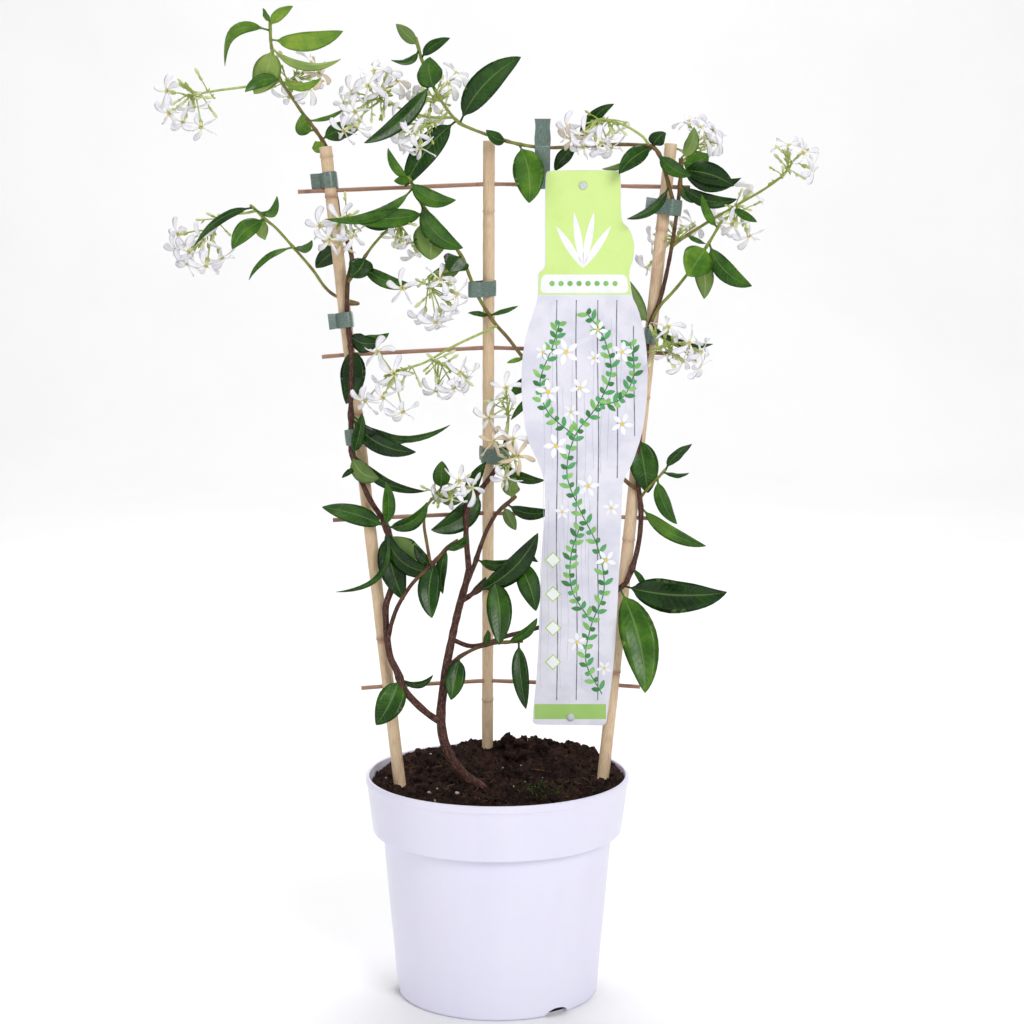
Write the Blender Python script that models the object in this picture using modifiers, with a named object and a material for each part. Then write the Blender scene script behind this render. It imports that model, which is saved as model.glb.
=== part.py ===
"""Star jasmine trained on a bamboo rack, growing in a plastic nursery pot.

Origin: centre of the pot's underside. +Z is up and the front of the plant faces -Y.
A place given by two pixels and a depth is a point of the photograph and its distance
behind the pot's centre, in millimetres, so -Y is nearer than 0.
"""

import math

import bmesh
import bpy
from mathutils import Matrix, Vector

# Driving dimensions, in metres.
MM = 0.001
GAP = 0.0003
POT_HEIGHT = 0.1613
RIM_RADIUS = 0.0950
RIM_INNER_RADIUS = 0.0927
COLLAR_LOW_RADIUS = 0.0900
COLLAR_LOW = 0.1214
BODY_TOP_RADIUS = 0.0818
BODY_TOP = 0.1098
BASE_RADIUS = 0.0727
BASE_ROUND = 0.0030
WALL = 0.0015
FLOOR = 0.0022
POT_STEPS = 40
DRAIN_HOLE_RADIUS = 0.0045
DRAIN_HOLE_CIRCLE = 0.048
DRAIN_NOTCH = (0.019, 0.010, 0.011)
DRAIN_NOTCH_ANGLE = -54.0
SOIL_LEVEL = 0.1500
SOIL_STEPS = 32
SIDE_CANE_RADIUS = 0.0045
MIDDLE_CANE_RADIUS = 0.0043
CANE_FOOT = 0.030
BAR_RADIUS = 0.0015
TIE_WIDTH = 0.011
TIE_THICKNESS = 0.0004
LABEL_THICKNESS = 0.0006
PEG_HEAD_RADIUS = 0.0030
PEG_PIN_RADIUS = 0.0012
LEAF_THICKNESS = 0.0007
LEAF_FOLD = 0.18
PETIOLE_RADIUS = 0.0008
FLOWER_RADIUS = 0.0125
FLOWER_WAIST = 0.0042
FLOWER_TUBE = 0.0075
PEDICEL_RADIUS = 0.0006
HUB_RADIUS = 0.0016
STEM_STEP = 0.015
HALVINGS = 30

# Where the photograph was taken from: metres, radians and pixels.
VIEW_BACK = 1.6516
VIEW_SIDE = 0.0106
VIEW_HEIGHT = 0.5853
VIEW_PITCH = 0.1406
VIEW_FOCAL = 2342.2
VIEW_MIDDLE = 512.0

# Canes: foot and top, pixels and depth.
CANES = {
    "cane_left": ((400.5, 790, 0), (325.5, 147, 30), SIDE_CANE_RADIUS),
    "cane_middle": ((487.5, 742, 56), (489.0, 141, 30), MIDDLE_CANE_RADIUS),
    "cane_right": ((603.0, 778, 9), (671.0, 144, 30), SIDE_CANE_RADIUS),
}

# Crossbars: pixel row at the left end, at each cane and at the right end.
BARS = {
    "crossbar_1": ((298.0, 191.8), 190.4, 184.0, 186.8, (690.0, 187.6)),
    "crossbar_2": ((322.0, 356.9), 354.5, 347.6, 352.6, (673.0, 353.6)),
    "crossbar_3": ((333.0, 520.1), 518.0, 512.8, 517.4, (657.0, 518.8)),
    "crossbar_4": ((361.5, 688.0), 686.0, 680.6, 685.0, (640.0, 686.8)),
}

# Stems: name, radii at foot and tip in millimetres, parent, route in pixels and depth.
STEMS = {
    "trunk": (4.0, 2.4, None, [
        (487, 799, 2), (481, 787, 0), (466, 777, -5), (454, 763, -9), (446, 747, -11), (442, 731, -11),
        (441, 712, -10), (443, 692, -8), (446, 669, -6), (451, 643, -4), (456, 620, -2),
        (461, 600, 0), (466, 583, 3), (469, 570, 5),
    ]),
    "branch_left": (2.7, 2.1, "trunk", [
        (441, 724, -10), (427, 713, -13), (411, 698, -13), (403, 687, -11), (397, 671, -9),
        (391, 659, -7), (388, 645, -6), (386, 622, -5), (386, 605, -4), (392, 587, -3), (396, 566, -2),
        (391, 541, 0), (383, 519, 1),
    ]),
    "stem_left": (2.0, 1.5, "branch_left", [
        (381, 514, 1), (372, 503, 2), (364, 487, 4), (357, 470, 7), (352, 452, 8), (351, 436, 8),
        (351, 415, 7), (350.8, 396, 7), (351.5, 362, 8), (350, 340, 10), (347.5, 320, 13),
        (347, 300, 14),
        (348, 280, 16), (352, 262, 22), (349, 246, 31), (341, 225, 37), (335, 190, 39), (330, 160, 39),
        (326, 146, 38),
    ]),
    "shoot_top_left": (1.3, 0.9, "stem_left", [
        (325.5, 144, 38), (321, 138, 34), (312.5, 126, 29), (302.5, 113, 24), (289, 93, 18),
        (281, 81, 14),
        (275, 63, 10), (271, 43, 6), (270, 22, 4),
    ]),
    "shoot_upper_left": (1.3, 0.9, "stem_left", [
        (348, 303, 14), (356.5, 304, 20), (357, 303, 30), (346, 300, 35), (334, 295, 30), (324, 286, 16),
        (312.5, 269.5, 4), (294, 248, -2), (276, 228, -6),
        (266, 220, -8), (256, 210, -10), (250, 205, -11),
    ]),
    "shoot_inner_left": (1.2, 0.8, "stem_left", [
        (348.5, 284, 16), (356, 271, 11), (366, 255, 11), (375, 243, 10), (386, 231, 9), (394, 224, 8),
        (399, 215, 7),
    ]),
    "branch_centre_left": (1.6, 1.2, "branch_left", [
        (388, 640, -6), (392, 622, -13), (399, 604, -18), (412, 584, -20), (426, 570, -18),
        (438, 558, -14),
        (448, 547, -10), (458, 540, -7),
    ]),
    "shoot_upright": (1.2, 0.9, "branch_centre_left", [
        (432, 564, -16), (427, 544, -4), (424, 524, 6), (426, 508, 12), (433, 498, 14), (441, 489, 14),
    ]),
    "fork_left": (2.2, 1.6, "trunk", [
        (469, 569, 5), (467, 549, 9), (466, 533, 13), (468, 506, 21), (482, 488, 31), (496, 469, 36),
        (503, 455, 36), (506, 440, 34),
    ]),
    "fork_right": (1.8, 1.3, "trunk", [
        (464, 590, 2), (474, 566, 14), (481, 545, 22), (488, 528, 29), (497, 513, 32), (508, 503, 32),
        (516, 496, 31),
    ]),
    "branch_side": (1.7, 1.2, "trunk", [
        (460, 604, -1), (472, 594, -6), (487, 582, -9), (500, 572, -10), (516, 559, -10),
        (528, 547, -9),
    ]),
    "branch_low_right": (1.5, 1.1, "trunk", [
        (446, 667, -6), (458, 658, -11), (470, 651, -13), (482, 646, -14), (496, 643, -14),
        (510, 642, -13),
        (523, 641, -12),
    ]),
    "branch_to_right": (1.7, 1.5, "trunk", [
        (452, 640, -4), (470, 646, 8), (488, 643, 18), (507, 636, 22), (534, 629, 21), (560, 620, 19),
        (590, 606, 15), (612, 594, 10), (626, 583, 8),
    ]),
    "stem_right": (1.9, 1.3, "branch_to_right", [
        (628, 580, 8), (633, 566, 8), (639, 541, 11), (641, 516, 12), (640, 499, 12), (638, 480, 11.5),
        (639, 440, 12.5), (642, 400, 13.5), (646, 360, 15), (650, 325, 16.5), (660, 300, 19),
        (668.5, 264, 21),
        (674.5, 229, 21), (679, 195, 22), (681, 170, 22), (681, 158, 22),
    ]),
    "shoot_right_low": (1.1, 0.8, "stem_right", [
        (640, 497, 12), (648, 488, 7), (656, 480, 4), (666, 469, 2),
    ]),
    "shoot_right_upper": (1.2, 0.9, "stem_right", [
        (651, 322, 17), (660, 306, 9), (672, 293, 7), (686, 276, 7), (698, 259, 8), (707, 246, 8),
        (716, 231, 8), (722, 220, 8),
    ]),
    "shoot_right_flowers": (1.2, 0.8, "stem_right", [
        (672, 245, 21), (683, 238, 15), (700, 227, 14), (718, 216, 13), (731, 209, 12), (742, 202, 11),
        (763, 190, 8), (783, 176, 5),
    ]),
    "stem_middle": (1.5, 1.1, "stem_right", [
        (638, 492, 12), (628, 483, 11), (616, 470, 13), (590, 438, 19), (560, 402, 21),
        (523, 357.5, 22), (508, 338, 24),
        (494, 322, 25), (479, 298, 26), (469, 274.6, 24), (464, 261, 21), (456, 248, 19),
        (442.7, 231.5, 15),
        (428, 213, 11), (418, 197, 8), (413, 186, 6), (408, 176, 4),
    ]),
    "stem_top": (1.4, 1.0, "stem_right", [
        (676.5, 212, 21), (671, 193, 17), (666, 175, 16), (661, 158, 15), (653, 147, 15),
        (640, 145, 15),
        (615, 144.5, 17), (590, 146, 19), (569, 147, 21), (543, 147.6, 23), (516, 143.5, 20),
        (491, 136, 17),
        (466, 126.5, 13), (456, 120, 11), (444, 105, 7), (433, 86, 3), (424, 66, 0),
        (419, 50, -2), (416, 37, -4),
    ]),
}

# Where a leaf has its sections: share of its length, and share of its half width there.
LEAF_STATIONS = ((0.0, 0.0), (0.12, 0.0), (0.36, 0.86), (0.70, 0.80), (0.985, 0.04))

# Leaves of each stem: base and tip pixels, full width in pixels, depth of the tip in
# millimetres, roll in degrees (0 shows the upper face, 180 the underside), sideways bend in pixels.
LEAVES = {
    "shoot_top_left": [
        (270, 25, 293, 6, 12, -4, 20, 3), (270, 24, 263, 8, 8, 6, -40, 0),
        (270, 30, 225, 66, 16, -12, -50, -22),
        (272, 40, 343, 31, 20, -14, 15, -6), (272, 46, 341, 59, 10, 14, 160, -13),
        (271, 48, 254, 94, 28, 16, 180, 4), (281, 80, 245, 92, 14, 2, -25, -6),
        (281, 78, 321, 78, 10, 2, 30, -8),
        (316, 131, 304, 112, 16, 12, 20, 10), (323, 140, 312, 148, 13, 39, 10, 3),
        (323, 141, 358, 130, 20, 52, 20, 5), (309, 121, 345, 108, 6, 26, 40, -3),
    ],
    "shoot_upper_left": [
        (252, 207, 277, 196, 11, -22, 40, -13), (254, 208, 194, 246, 11, -30, -35, -9),
        (265, 219, 232, 249, 20, -24, 10, -5), (264, 218, 265, 240, 14, 4, 180, -3),
        (292, 246, 249, 280, 9, -14, 40, -6), (294, 248, 312, 240, 10, -12, 30, -5),
    ],
    "shoot_inner_left": [
        (361, 262, 414, 285, 15, -6, 10, -7), (366, 255, 350, 277, 26, -2, 10, 3),
        (398, 216, 382, 206, 9, 2, 30, 3), (392, 225, 361, 223, 8, 2, 20, 3),
    ],
    "stem_left": [
        (349, 247, 316, 268, 20, 42, -10, -4),
        (350, 345, 346, 404, 26, 7, 5, 5), (349, 332, 379, 342, 20, -2, 15, -6),
        (350.5, 337, 389, 333, 15, -4, 30, -5),
        (352, 454, 362, 413, 14, -16, 10, -2), (351.3, 417, 416, 452, 20, -14, -8, -10),
        (351, 419, 419, 436, 15, 6, 25, -10), (351, 412, 450, 425, 10, -8, 40, -20),
        (353, 456, 379, 478, 20, -6, 180, -7), (352, 450, 426, 491, 13, 0, 20, -12),
        (355, 466, 342, 478, 6, -4, 20, 0),
    ],
    "branch_left": [
        (385, 527, 386, 482, 14, -24, 10, -3), (386, 525, 427, 502, 18, -14, 20, -9),
        (386, 527, 322, 507, 21, -16, 5, -3), (386, 524, 336, 592, 7, -16, 30, 26),
        (387, 530, 433, 562, 34, -6, 180, -10), (387, 532, 404, 600, 28, -6, 0, -4),
        (385, 525, 443, 572, 20, -12, 15, -18),
        (399, 676, 376, 725, 30, -22, 0, 3), (400, 679, 433, 675, 9, -20, 20, -8),
    ],
    "branch_centre_left": [
        (436, 560, 432, 618, 24, -28, 5, -5), (447, 548, 443, 594, 13, -18, 20, -4),
        (446, 550, 467, 535, 13, -26, 30, -3),
        (430, 566, 414, 545, 12, -42, 30, 2),
    ],
    "shoot_upright": [
        (441, 491, 442, 461, 18, 6, 5, 0), (439, 493, 461, 502, 14, 22, 180, -2),
    ],
    "fork_left": [
        (481, 490, 431, 530, 25, 6, 5, 10), (467, 512, 486, 462, 15, 36, 20, 5),
        (499, 465, 545, 480, 12, 24, 10, -5),
    ],
    "fork_right": [
        (506, 505, 552, 510, 14, 26, 10, -6), (503, 508, 516, 530, 12, 30, 180, 0),
        (512, 500, 516, 478, 20, 26, 160, 4), (476, 560, 516, 557, 13, 4, 15, -7),
    ],
    "branch_side": [
        (474, 593, 538, 533, 25, -28, 10, -9), (468, 597, 486, 577, 10, -4, 30, -2),
        (495, 576, 499, 645, 27, -30, 0, 3), (517, 558, 536, 611, 24, -24, 5, 3),
        (526, 549, 538, 562, 9, -18, 30, 0),
    ],
    "branch_low_right": [
        (459, 657, 451, 700, 21, -24, 5, 0), (486, 646, 488, 630, 9, -18, 30, 0),
        (519, 641, 526, 709, 18, -24, 0, -2), (508, 642, 537, 618, 12, -20, 20, -4),
    ],
    "branch_to_right": [
        (622, 586, 727, 592, 38, -16, 5, -6), (620, 588, 645, 693, 38, -18, 0, 7),
    ],
    "stem_right": [
        (640, 437, 648, 493, 30, 10, 0, 0), (632, 568, 651, 590, 9, 2, 40, 0),
        (650, 325, 621, 272, 22, 24, 175, 5), (650.5, 322, 713, 344, 10, 10, 30, -10),
        (681, 160, 694, 127, 15, 24, 165, -4), (681, 161, 708, 154, 24, 30, 10, -5),
        (681, 165, 741, 178, 15, 8, 15, -13), (680.5, 172, 734, 186, 24, 6, 5, 5),
        (679.5, 185, 737, 199, 15, 26, 10, -9), (680.5, 186, 693, 203, 10, 30, 15, 0),
        (640.3, 505, 706, 546, 16, 6, 20, -7),
    ],
    "shoot_right_low": [
        (665, 470, 692, 444, 12, -8, 20, 3), (662, 473, 689, 473, 8, -6, 40, -2),
        (657, 479, 677, 524, 16, -8, 10, -4),
    ],
    "shoot_right_upper": [
        (706, 247, 687, 276, 34, -12, 0, 0), (700, 256, 704, 299, 20, 16, 175, 3),
        (708, 244, 752, 286, 20, -6, 5, -8),
        (719, 226, 702, 195, 10, 4, 20, 4),
    ],
    "shoot_right_flowers": [
        (733, 208, 757, 222, 9, -6, 20, 0), (686, 236, 706, 244, 6, 22, 30, 0),
    ],
    "stem_middle": [
        (409, 178, 388, 148, 10, -4, 15, 5), (410, 181, 394, 181, 9, -4, 10, 0),
        (411, 181, 456, 200, 18, -12, -8, -9),
        (413, 187, 325, 219, 12, -26, 15, 14), (427, 212, 347, 219, 20, -20, 0, 3),
        (421, 202, 463, 248, 22, -8, 10, -10), (430, 216, 431, 260, 36, 2, 180, 0),
        (461, 256, 449, 272, 28, 2, 10, 0),
        (463, 260, 427, 277, 16, 22, 180, 4), (489, 314, 468, 313, 6, 14, 30, 0),
        (491, 316, 518, 306, 6, 14, 30, 0),
        (523, 357.5, 507, 363, 5, 14, 20, 0), (540, 378, 511, 396, 13, 20, 10, -3),
        (548, 388, 511, 420, 9, 22, 10, -3),
    ],
    "stem_top": [
        (418, 46, 396, 24, 13, -4, 170, 0), (421, 56, 450, 38, 12, -16, 10, 3),
        (419, 50, 391, 60, 9, -14, 30, 8),
        (434, 88, 430, 57, 27, -16, 15, 3), (431, 82, 364, 143, 18, -20, -10, 8),
        (459, 122, 521, 57, 28, -14, 0, 8),
        (457, 121, 405, 187, 26, 8, 0, -6), (508, 141, 486, 130, 13, 6, 15, 3),
        (519, 144, 529, 203, 32, 6, 0, 5),
        (577, 147, 555, 171, 14, 26, 10, -3), (582, 146.5, 614, 104, 14, 10, 0, 8),
        (653, 147, 619, 174, 19, -2, 0, -4), (652, 147, 602, 169, 8, 16, 165, 6),
        (654, 148, 666, 133, 17, 6, 10, 3),
        (659, 155, 691, 176, 16, 2, 0, -4), (669, 187, 627, 219, 10, 0, 15, 8),
    ],
}

# Flower trusses: parent stem, stalk route, then each flower as pixels and depth.
TRUSSES = {
    "flowers_far_left": ("shoot_top_left",
        [(279, 77, 13), (262, 84, 20), (244, 87, 18), (214, 91, 14), (187, 96, 10)], [
        (167, 91, 4), (169, 113, -4), (183, 122, 8), (201, 127, 0), (194, 107, 14),
    ]),
    "flowers_top_left": ("shoot_top_left", [(284, 85, 15), (289, 82, 26), (297, 80, 30)], [
        (309, 88, 22), (289, 97, 30), (312, 63, 32), (319, 73, 24), (272, 63, 36),
    ]),
    "flowers_upper_centre": ("stem_top",
        [(453, 117, 10), (430, 117, 16), (408, 111.5, 18), (390, 104, 18), (368, 97, 16)], [
        (374, 71, 12), (388, 71, 24), (397, 81, 20), (368, 86, 4), (352, 92, 10), (344, 103, 18),
        (355, 112, 6), (384, 90, 8), (344, 131, 10), (356, 127, 20),
    ]),
    "flowers_upper_right": ("stem_top", [(437, 93, 4), (434, 100, 16), (431, 104, 22)], [
        (448, 84, 16), (457, 73, 26), (415, 103, 18), (422, 88, 28), (441, 112, 24), (428, 118, 32),
    ]),
    "flowers_centre_drop": ("stem_top",
        [(449, 111.5, 9), (440, 120, 4), (428, 126, 0), (414, 126, -4)], [
        (394, 121, 4), (401, 143, 0), (414, 135, -12), (420, 148, -8), (398, 133, 10),
    ]),
    "flowers_top_bar": ("stem_top",
        [(648, 145.5, 15), (642, 136, 10), (624, 125, 8), (604, 119, 8), (594, 121, 8)], [
        (586, 134, -2), (568, 129, 4), (571, 139, 6), (583, 147, 0), (601, 143, -2),
        (615, 133, 14), (611, 148, 8),
    ]),
    "flowers_top_right": ("stem_right", [(681, 164, 22), (690, 154, 40), (696, 144, 42)], [
        (700, 127, 38), (704, 138, 34), (712, 130, 44), (688, 121, 46), (717, 142, 42),
    ]),
    "flowers_far_right": ("shoot_right_flowers", [(783, 176, 5), (790, 166, 3), (795, 159, 2)], [
        (803, 153, -4), (812, 168, 4), (789, 145, 6),
    ]),
    "flowers_right": ("shoot_right_flowers", [(737, 205, 11), (740, 210, 18), (741, 215, 22)], [
        (751, 192, 28), (732, 224, 14), (749, 236, 18), (719, 224, 28),
    ]),
    "flowers_behind_right": ("stem_right", [(672, 246, 21), (677, 241, 32), (675, 238, 46)], [
        (693, 224, 48), (682, 226, 40), (652, 243, 52), (647, 268, 54),
    ]),
    "flowers_left_cane": ("stem_left",
        [(340, 222, 38), (347, 217, 34), (350, 214, 22), (346, 218, 8), (338, 225, -3)], [
        (320, 226, -6), (329, 240, -12), (341, 219, -14), (352, 236, -8), (340, 244, -4),
    ]),
    "flowers_low_left": ("shoot_upper_left",
        [(257, 211, -10), (246, 213, -2), (230, 215, 0), (214, 224, 0), (204, 234, -2)], [
        (178, 234, -6), (176, 250, 0), (189, 252, -10), (203, 240, -12), (187, 264, -2),
        (206, 266, -8), (222, 258, 2),
    ]),
    "flowers_inner_left": ("shoot_inner_left", [(398, 218, 7), (401, 226, 14), (404, 230, 18)], [
        (397, 237, 14), (408, 243, 20), (417, 252, 26),
    ]),
    "flowers_centre": ("stem_middle",
        [(466, 267, 22), (452, 270, 12), (436, 273, 8), (429, 280, 6), (432, 292, 4)], [
        (402, 288, -18), (440, 279, 0), (457, 294, 0), (454, 308, 6), (436, 322, -4),
        (424, 317, 8), (443, 318, 10),
    ]),
    "flowers_middle_left": ("stem_middle",
        [(498, 327, 25), (484, 332, 16), (452, 347, 6), (426, 362, 0), (404, 369, -4),
         (392, 372, -8)], [
        (377, 352, -14), (394, 374, -20), (365, 401, -12), (403, 412, -16), (383, 398, -24),
        (389, 386, 0),
    ]),
    "flowers_middle": ("flowers_middle_left", [(432, 358.5, 2), (442, 364, 4), (450, 370, 4)], [
        (460, 373, -4), (468, 378, 8), (454, 388, 2), (436, 391, 6),
    ]),
    "flowers_cane_star": ("fork_left",
        [(506, 441, 34), (508, 425, 28), (508, 408, 24), (507, 398, 20)], [
        (506, 388, 8), (489, 418, 14),
    ]),
    "flowers_label_left": ("fork_left",
        [(495, 470, 36), (504, 467, 27), (513, 457, 22), (513, 447, 20)], [
        (493, 441, 12), (513, 439, 8), (518, 456, 4), (506, 478, 12),
    ]),
    "flowers_low_centre": ("shoot_upright", [(434, 497, 14), (446, 492, 10), (456, 487, 8)], [
        (436, 482, 22), (459, 481, 0), (472, 488, 2), (451, 499, 6),
    ]),
    "flowers_right_middle": ("stem_right", [(647, 353, 15), (662, 346, 6), (676, 341, 3)], [
        (668, 327, 0), (689, 343, -6), (701, 352, 0), (683, 361, 4), (700, 366, 8), (672, 352, 12),
    ]),
}

# Ties of flat tape: cane, pixel row, stems inside the loop, tail direction in degrees
# (0 is right, 90 is the back) and tail length in millimetres.
TIES = {
    "tie_left_top": ("cane_left", 180, ["stem_left"], 170, 8),
    "tie_left_upper": ("cane_left", 320, ["stem_left"], 190, 7),
    "tie_left_middle": ("cane_left", 436, ["stem_left"], 100, 7),
    "tie_middle_upper": ("cane_middle", 288, ["stem_middle"], 80, 7),
    "tie_middle_lower": ("cane_middle", 455, ["fork_left"], 120, 7),
    "tie_right_upper": ("cane_right", 207, ["stem_right", "stem_top"], 185, 8),
    "tie_right_middle": ("cane_right", 336, ["stem_right"], 60, 7),
}
TIE_ROOM = 0.0006
BAND_STEP = math.radians(26)
TOP_TIE_COLUMN = 543.0
TOP_TIE_TAIL = 0.017

# Label: outline in pixels, lying in an upright plane that leans back at its top.
LABEL_TOP_DEPTH = 14.0
LABEL_FOOT_DEPTH = 0.0
LABEL_ROWS = (170.0, 725.0)
LABEL_LEFT = [
    (549, 170), (545, 174), (545, 268), (538, 272), (538, 297), (534, 310), (526, 335), (521.6, 362),
    (521.6, 400), (526.5, 438), (540, 466), (545, 483), (545, 516), (541.5, 549), (538, 660),
    (532, 724.5),
]
LABEL_RIGHT = [
    (606, 725.5), (614.4, 660), (618.6, 582), (622, 499.5), (622.7, 481), (632.7, 463), (642.6, 433),
    (647, 400), (648, 365), (645, 335), (638, 308), (632, 297), (629, 272), (634, 258), (635, 243),
    (630, 229), (621, 221), (621, 174), (617, 170),
]
PEGS = {"label_peg_top": (583.0, 185.5), "label_peg_low": (570.6, 717.0)}

# Colours as red, green, blue between 0 and 1, then roughness.
FINISHES = {
    "pot": ((0.80, 0.79, 0.92), 0.35),
    "soil": ((0.035, 0.022, 0.014), 0.95),
    "cane": ((0.62, 0.45, 0.28), 0.50),
    "crossbar": ((0.42, 0.26, 0.17), 0.60),
    "tie": ((0.09, 0.13, 0.11), 0.45),
    "label": ((0.84, 0.84, 0.92), 0.35),
    "peg": ((0.90, 0.92, 0.94), 0.15),
    "wood": ((0.13, 0.06, 0.04), 0.75),
    "leaf": ((0.05, 0.16, 0.04), 0.40),
    "flower": ((0.88, 0.88, 0.82), 0.60),
}


def clear_scene():
    for thing in list(bpy.data.objects):
        bpy.data.objects.remove(thing, do_unlink=True)


def new_collection(name):
    made = bpy.data.collections.new(name)
    bpy.context.scene.collection.children.link(made)
    return made


def finish(obj, kind):
    """Gives the object its own material of this kind."""
    colour, roughness = FINISHES[kind]
    material = bpy.data.materials.new(obj.name)
    material.use_nodes = True
    shader = material.node_tree.nodes["Principled BSDF"]
    shader.inputs["Base Color"].default_value = (*colour, 1.0)
    shader.inputs["Roughness"].default_value = roughness
    obj.data.materials.clear()
    obj.data.materials.append(material)
    return obj


def sight(px, py):
    """Direction of the line of sight through a pixel, from the point VIEW_EYE."""
    right = (px - VIEW_MIDDLE) / VIEW_FOCAL
    up = (VIEW_MIDDLE - py) / VIEW_FOCAL
    cosine = math.cos(VIEW_PITCH)
    sine = math.sin(VIEW_PITCH)
    return Vector((right, cosine + up * sine, up * cosine - sine))


VIEW_EYE = Vector((VIEW_SIDE, -VIEW_BACK, VIEW_HEIGHT))


def place(px, py, depth):
    """The point seen at a pixel, depth millimetres behind the pot's centre."""
    way = sight(px, py)
    return VIEW_EYE + way * ((depth * MM + VIEW_BACK) / way.y)


def route(points):
    return [place(*point) for point in points]


def smooth_route(points):
    """Points about STEM_STEP apart along a Catmull-Rom curve through the given points."""
    ends = [points[0] * 2 - points[1]] + points + [points[-1] * 2 - points[-2]]
    made = []
    for a, b, c, d in zip(ends, ends[1:], ends[2:], ends[3:]):
        count = 8
        for index in range(count):
            t = index / count
            made.append(0.5 * (2 * b + (c - a) * t + (2 * a - 5 * b + 4 * c - d) * t**2
                               + (3 * b - a - 3 * c + d) * t**3))
    made.append(points[-1])
    kept = [made[0]]
    for point in made[1:-1]:
        if (point - kept[-1]).length >= STEM_STEP and (point - made[-1]).length >= STEM_STEP / 2:
            kept.append(point)
    return kept + [made[-1]]


def nearest(points, target):
    """The point of a polyline nearest to a target, and the direction there."""
    best = None
    for a, b in zip(points, points[1:]):
        along = b - a
        t = min(1.0, max(0.0, (target - a).dot(along) / along.length_squared))
        found = a + along * t
        gap = (found - target).length
        if best is None or gap < best[0]:
            best = (gap, found, along.normalized())
    return best[1], best[2]


def at_row(points, py):
    """The point of a rising polyline that is seen at pixel row py."""
    for a, b in zip(points, points[1:]):
        low, high = (a, b) if row_of(a) > row_of(b) else (b, a)
        if row_of(high) <= py <= row_of(low):
            for _halving in range(HALVINGS):
                middle = (low + high) / 2
                low, high = (middle, high) if row_of(middle) > py else (low, middle)
            return middle
    return min(points, key=lambda point: abs(row_of(point) - py))


def row_of(point):
    offset = point - VIEW_EYE
    cosine = math.cos(VIEW_PITCH)
    sine = math.sin(VIEW_PITCH)
    forward = offset.y * cosine - offset.z * sine
    up = offset.y * sine + offset.z * cosine
    return VIEW_MIDDLE - VIEW_FOCAL * up / forward


def keep(obj, group):
    """Moves an object into one collection."""
    for owner in list(obj.users_collection):
        owner.objects.unlink(obj)
    group.objects.link(obj)
    return obj


def as_helper(obj, group):
    keep(obj, group)
    obj.hide_render = True
    obj.display_type = "WIRE"
    return obj


def mesh_object(name, shape, group):
    mesh = bpy.data.meshes.new(name)
    shape.to_mesh(mesh)
    shape.free()
    obj = bpy.data.objects.new(name, mesh)
    group.objects.link(obj)
    return obj


def tube(name, points, radii, sides, group):
    """A round tube with filled caps along a polyline, its radius running between two values."""
    curve = bpy.data.curves.new(name, "CURVE")
    curve.dimensions = "3D"
    curve.bevel_depth = 1.0
    curve.bevel_resolution = (sides - 4) // 2
    curve.use_fill_caps = True
    spline = curve.splines.new("POLY")
    spline.points.add(len(points) - 1)
    for index, point in enumerate(points):
        part = index / (len(points) - 1)
        spline.points[index].co = (*point, 1.0)
        spline.points[index].radius = radii[0] + (radii[1] - radii[0]) * part
    drawn = bpy.data.objects.new(name + "_curve", curve)
    group.objects.link(drawn)
    bpy.context.view_layer.update()
    seen = drawn.evaluated_get(bpy.context.evaluated_depsgraph_get())
    mesh = bpy.data.meshes.new_from_object(seen)
    bpy.data.objects.remove(drawn, do_unlink=True)
    shape = bmesh.new()
    shape.from_mesh(mesh)
    bmesh.ops.remove_doubles(shape, verts=shape.verts, dist=1e-6)
    bmesh.ops.recalc_face_normals(shape, faces=shape.faces)
    bpy.data.meshes.remove(mesh)
    return mesh_object(name, shape, group)


def loft(name, rings, group, fan_ends=False):
    """A closed body whose sections are rings of equal count, closed by a face or a fan at each end."""
    shape = bmesh.new()
    rows = [[shape.verts.new(point) for point in ring] for ring in rings]
    count = len(rows[0])
    for low, high in zip(rows, rows[1:]):
        for index in range(count):
            after = (index + 1) % count
            shape.faces.new((low[index], low[after], high[after], high[index]))
    for row in (rows[0], rows[-1]):
        if fan_ends:
            middle = shape.verts.new(sum((vert.co for vert in row), Vector()) / count)
            for index in range(count):
                shape.faces.new((row[index], row[(index + 1) % count], middle))
        else:
            shape.faces.new(row)
    bmesh.ops.recalc_face_normals(shape, faces=shape.faces)
    return mesh_object(name, shape, group)


CUTS = []
JOINTS = []


def cut(obj, cutters):
    """Notes cutters for an object; add_booleans makes the modifiers once all shapes exist."""
    CUTS.append((obj, cutters))


def joined(obj, pieces, name):
    """Notes pieces that grow out of an object, which one Boolean union joins to it."""
    if not pieces:
        return
    group = new_collection("pieces_of_" + name)
    for piece in pieces:
        as_helper(piece, group)
    JOINTS.append((obj, group))


def add_booleans():
    for obj, cutters in CUTS:
        for cutter in cutters:
            hole = obj.modifiers.new("cut_" + cutter.name, "BOOLEAN")
            hole.operation = "DIFFERENCE"
            hole.object = cutter
    for obj, group in JOINTS:
        union = obj.modifiers.new("union", "BOOLEAN")
        union.operation = "UNION"
        union.operand_type = "COLLECTION"
        union.collection = group
        union.solver = "MANIFOLD"


def turned(name, profile, group):
    """A turned shape: a profile of radius and height with a Screw modifier."""
    shape = bmesh.new()
    corners = [shape.verts.new((radius, 0.0, height)) for radius, height in profile]
    for one, other in zip(corners, corners[1:]):
        shape.edges.new((one, other))
    obj = mesh_object(name, shape, group)
    screw = obj.modifiers.new("turn", "SCREW")
    screw.steps = POT_STEPS
    screw.render_steps = POT_STEPS
    screw.use_merge_vertices = True
    screw.merge_threshold = 0.00001
    screw.use_normal_calculate = False
    return obj


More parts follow.
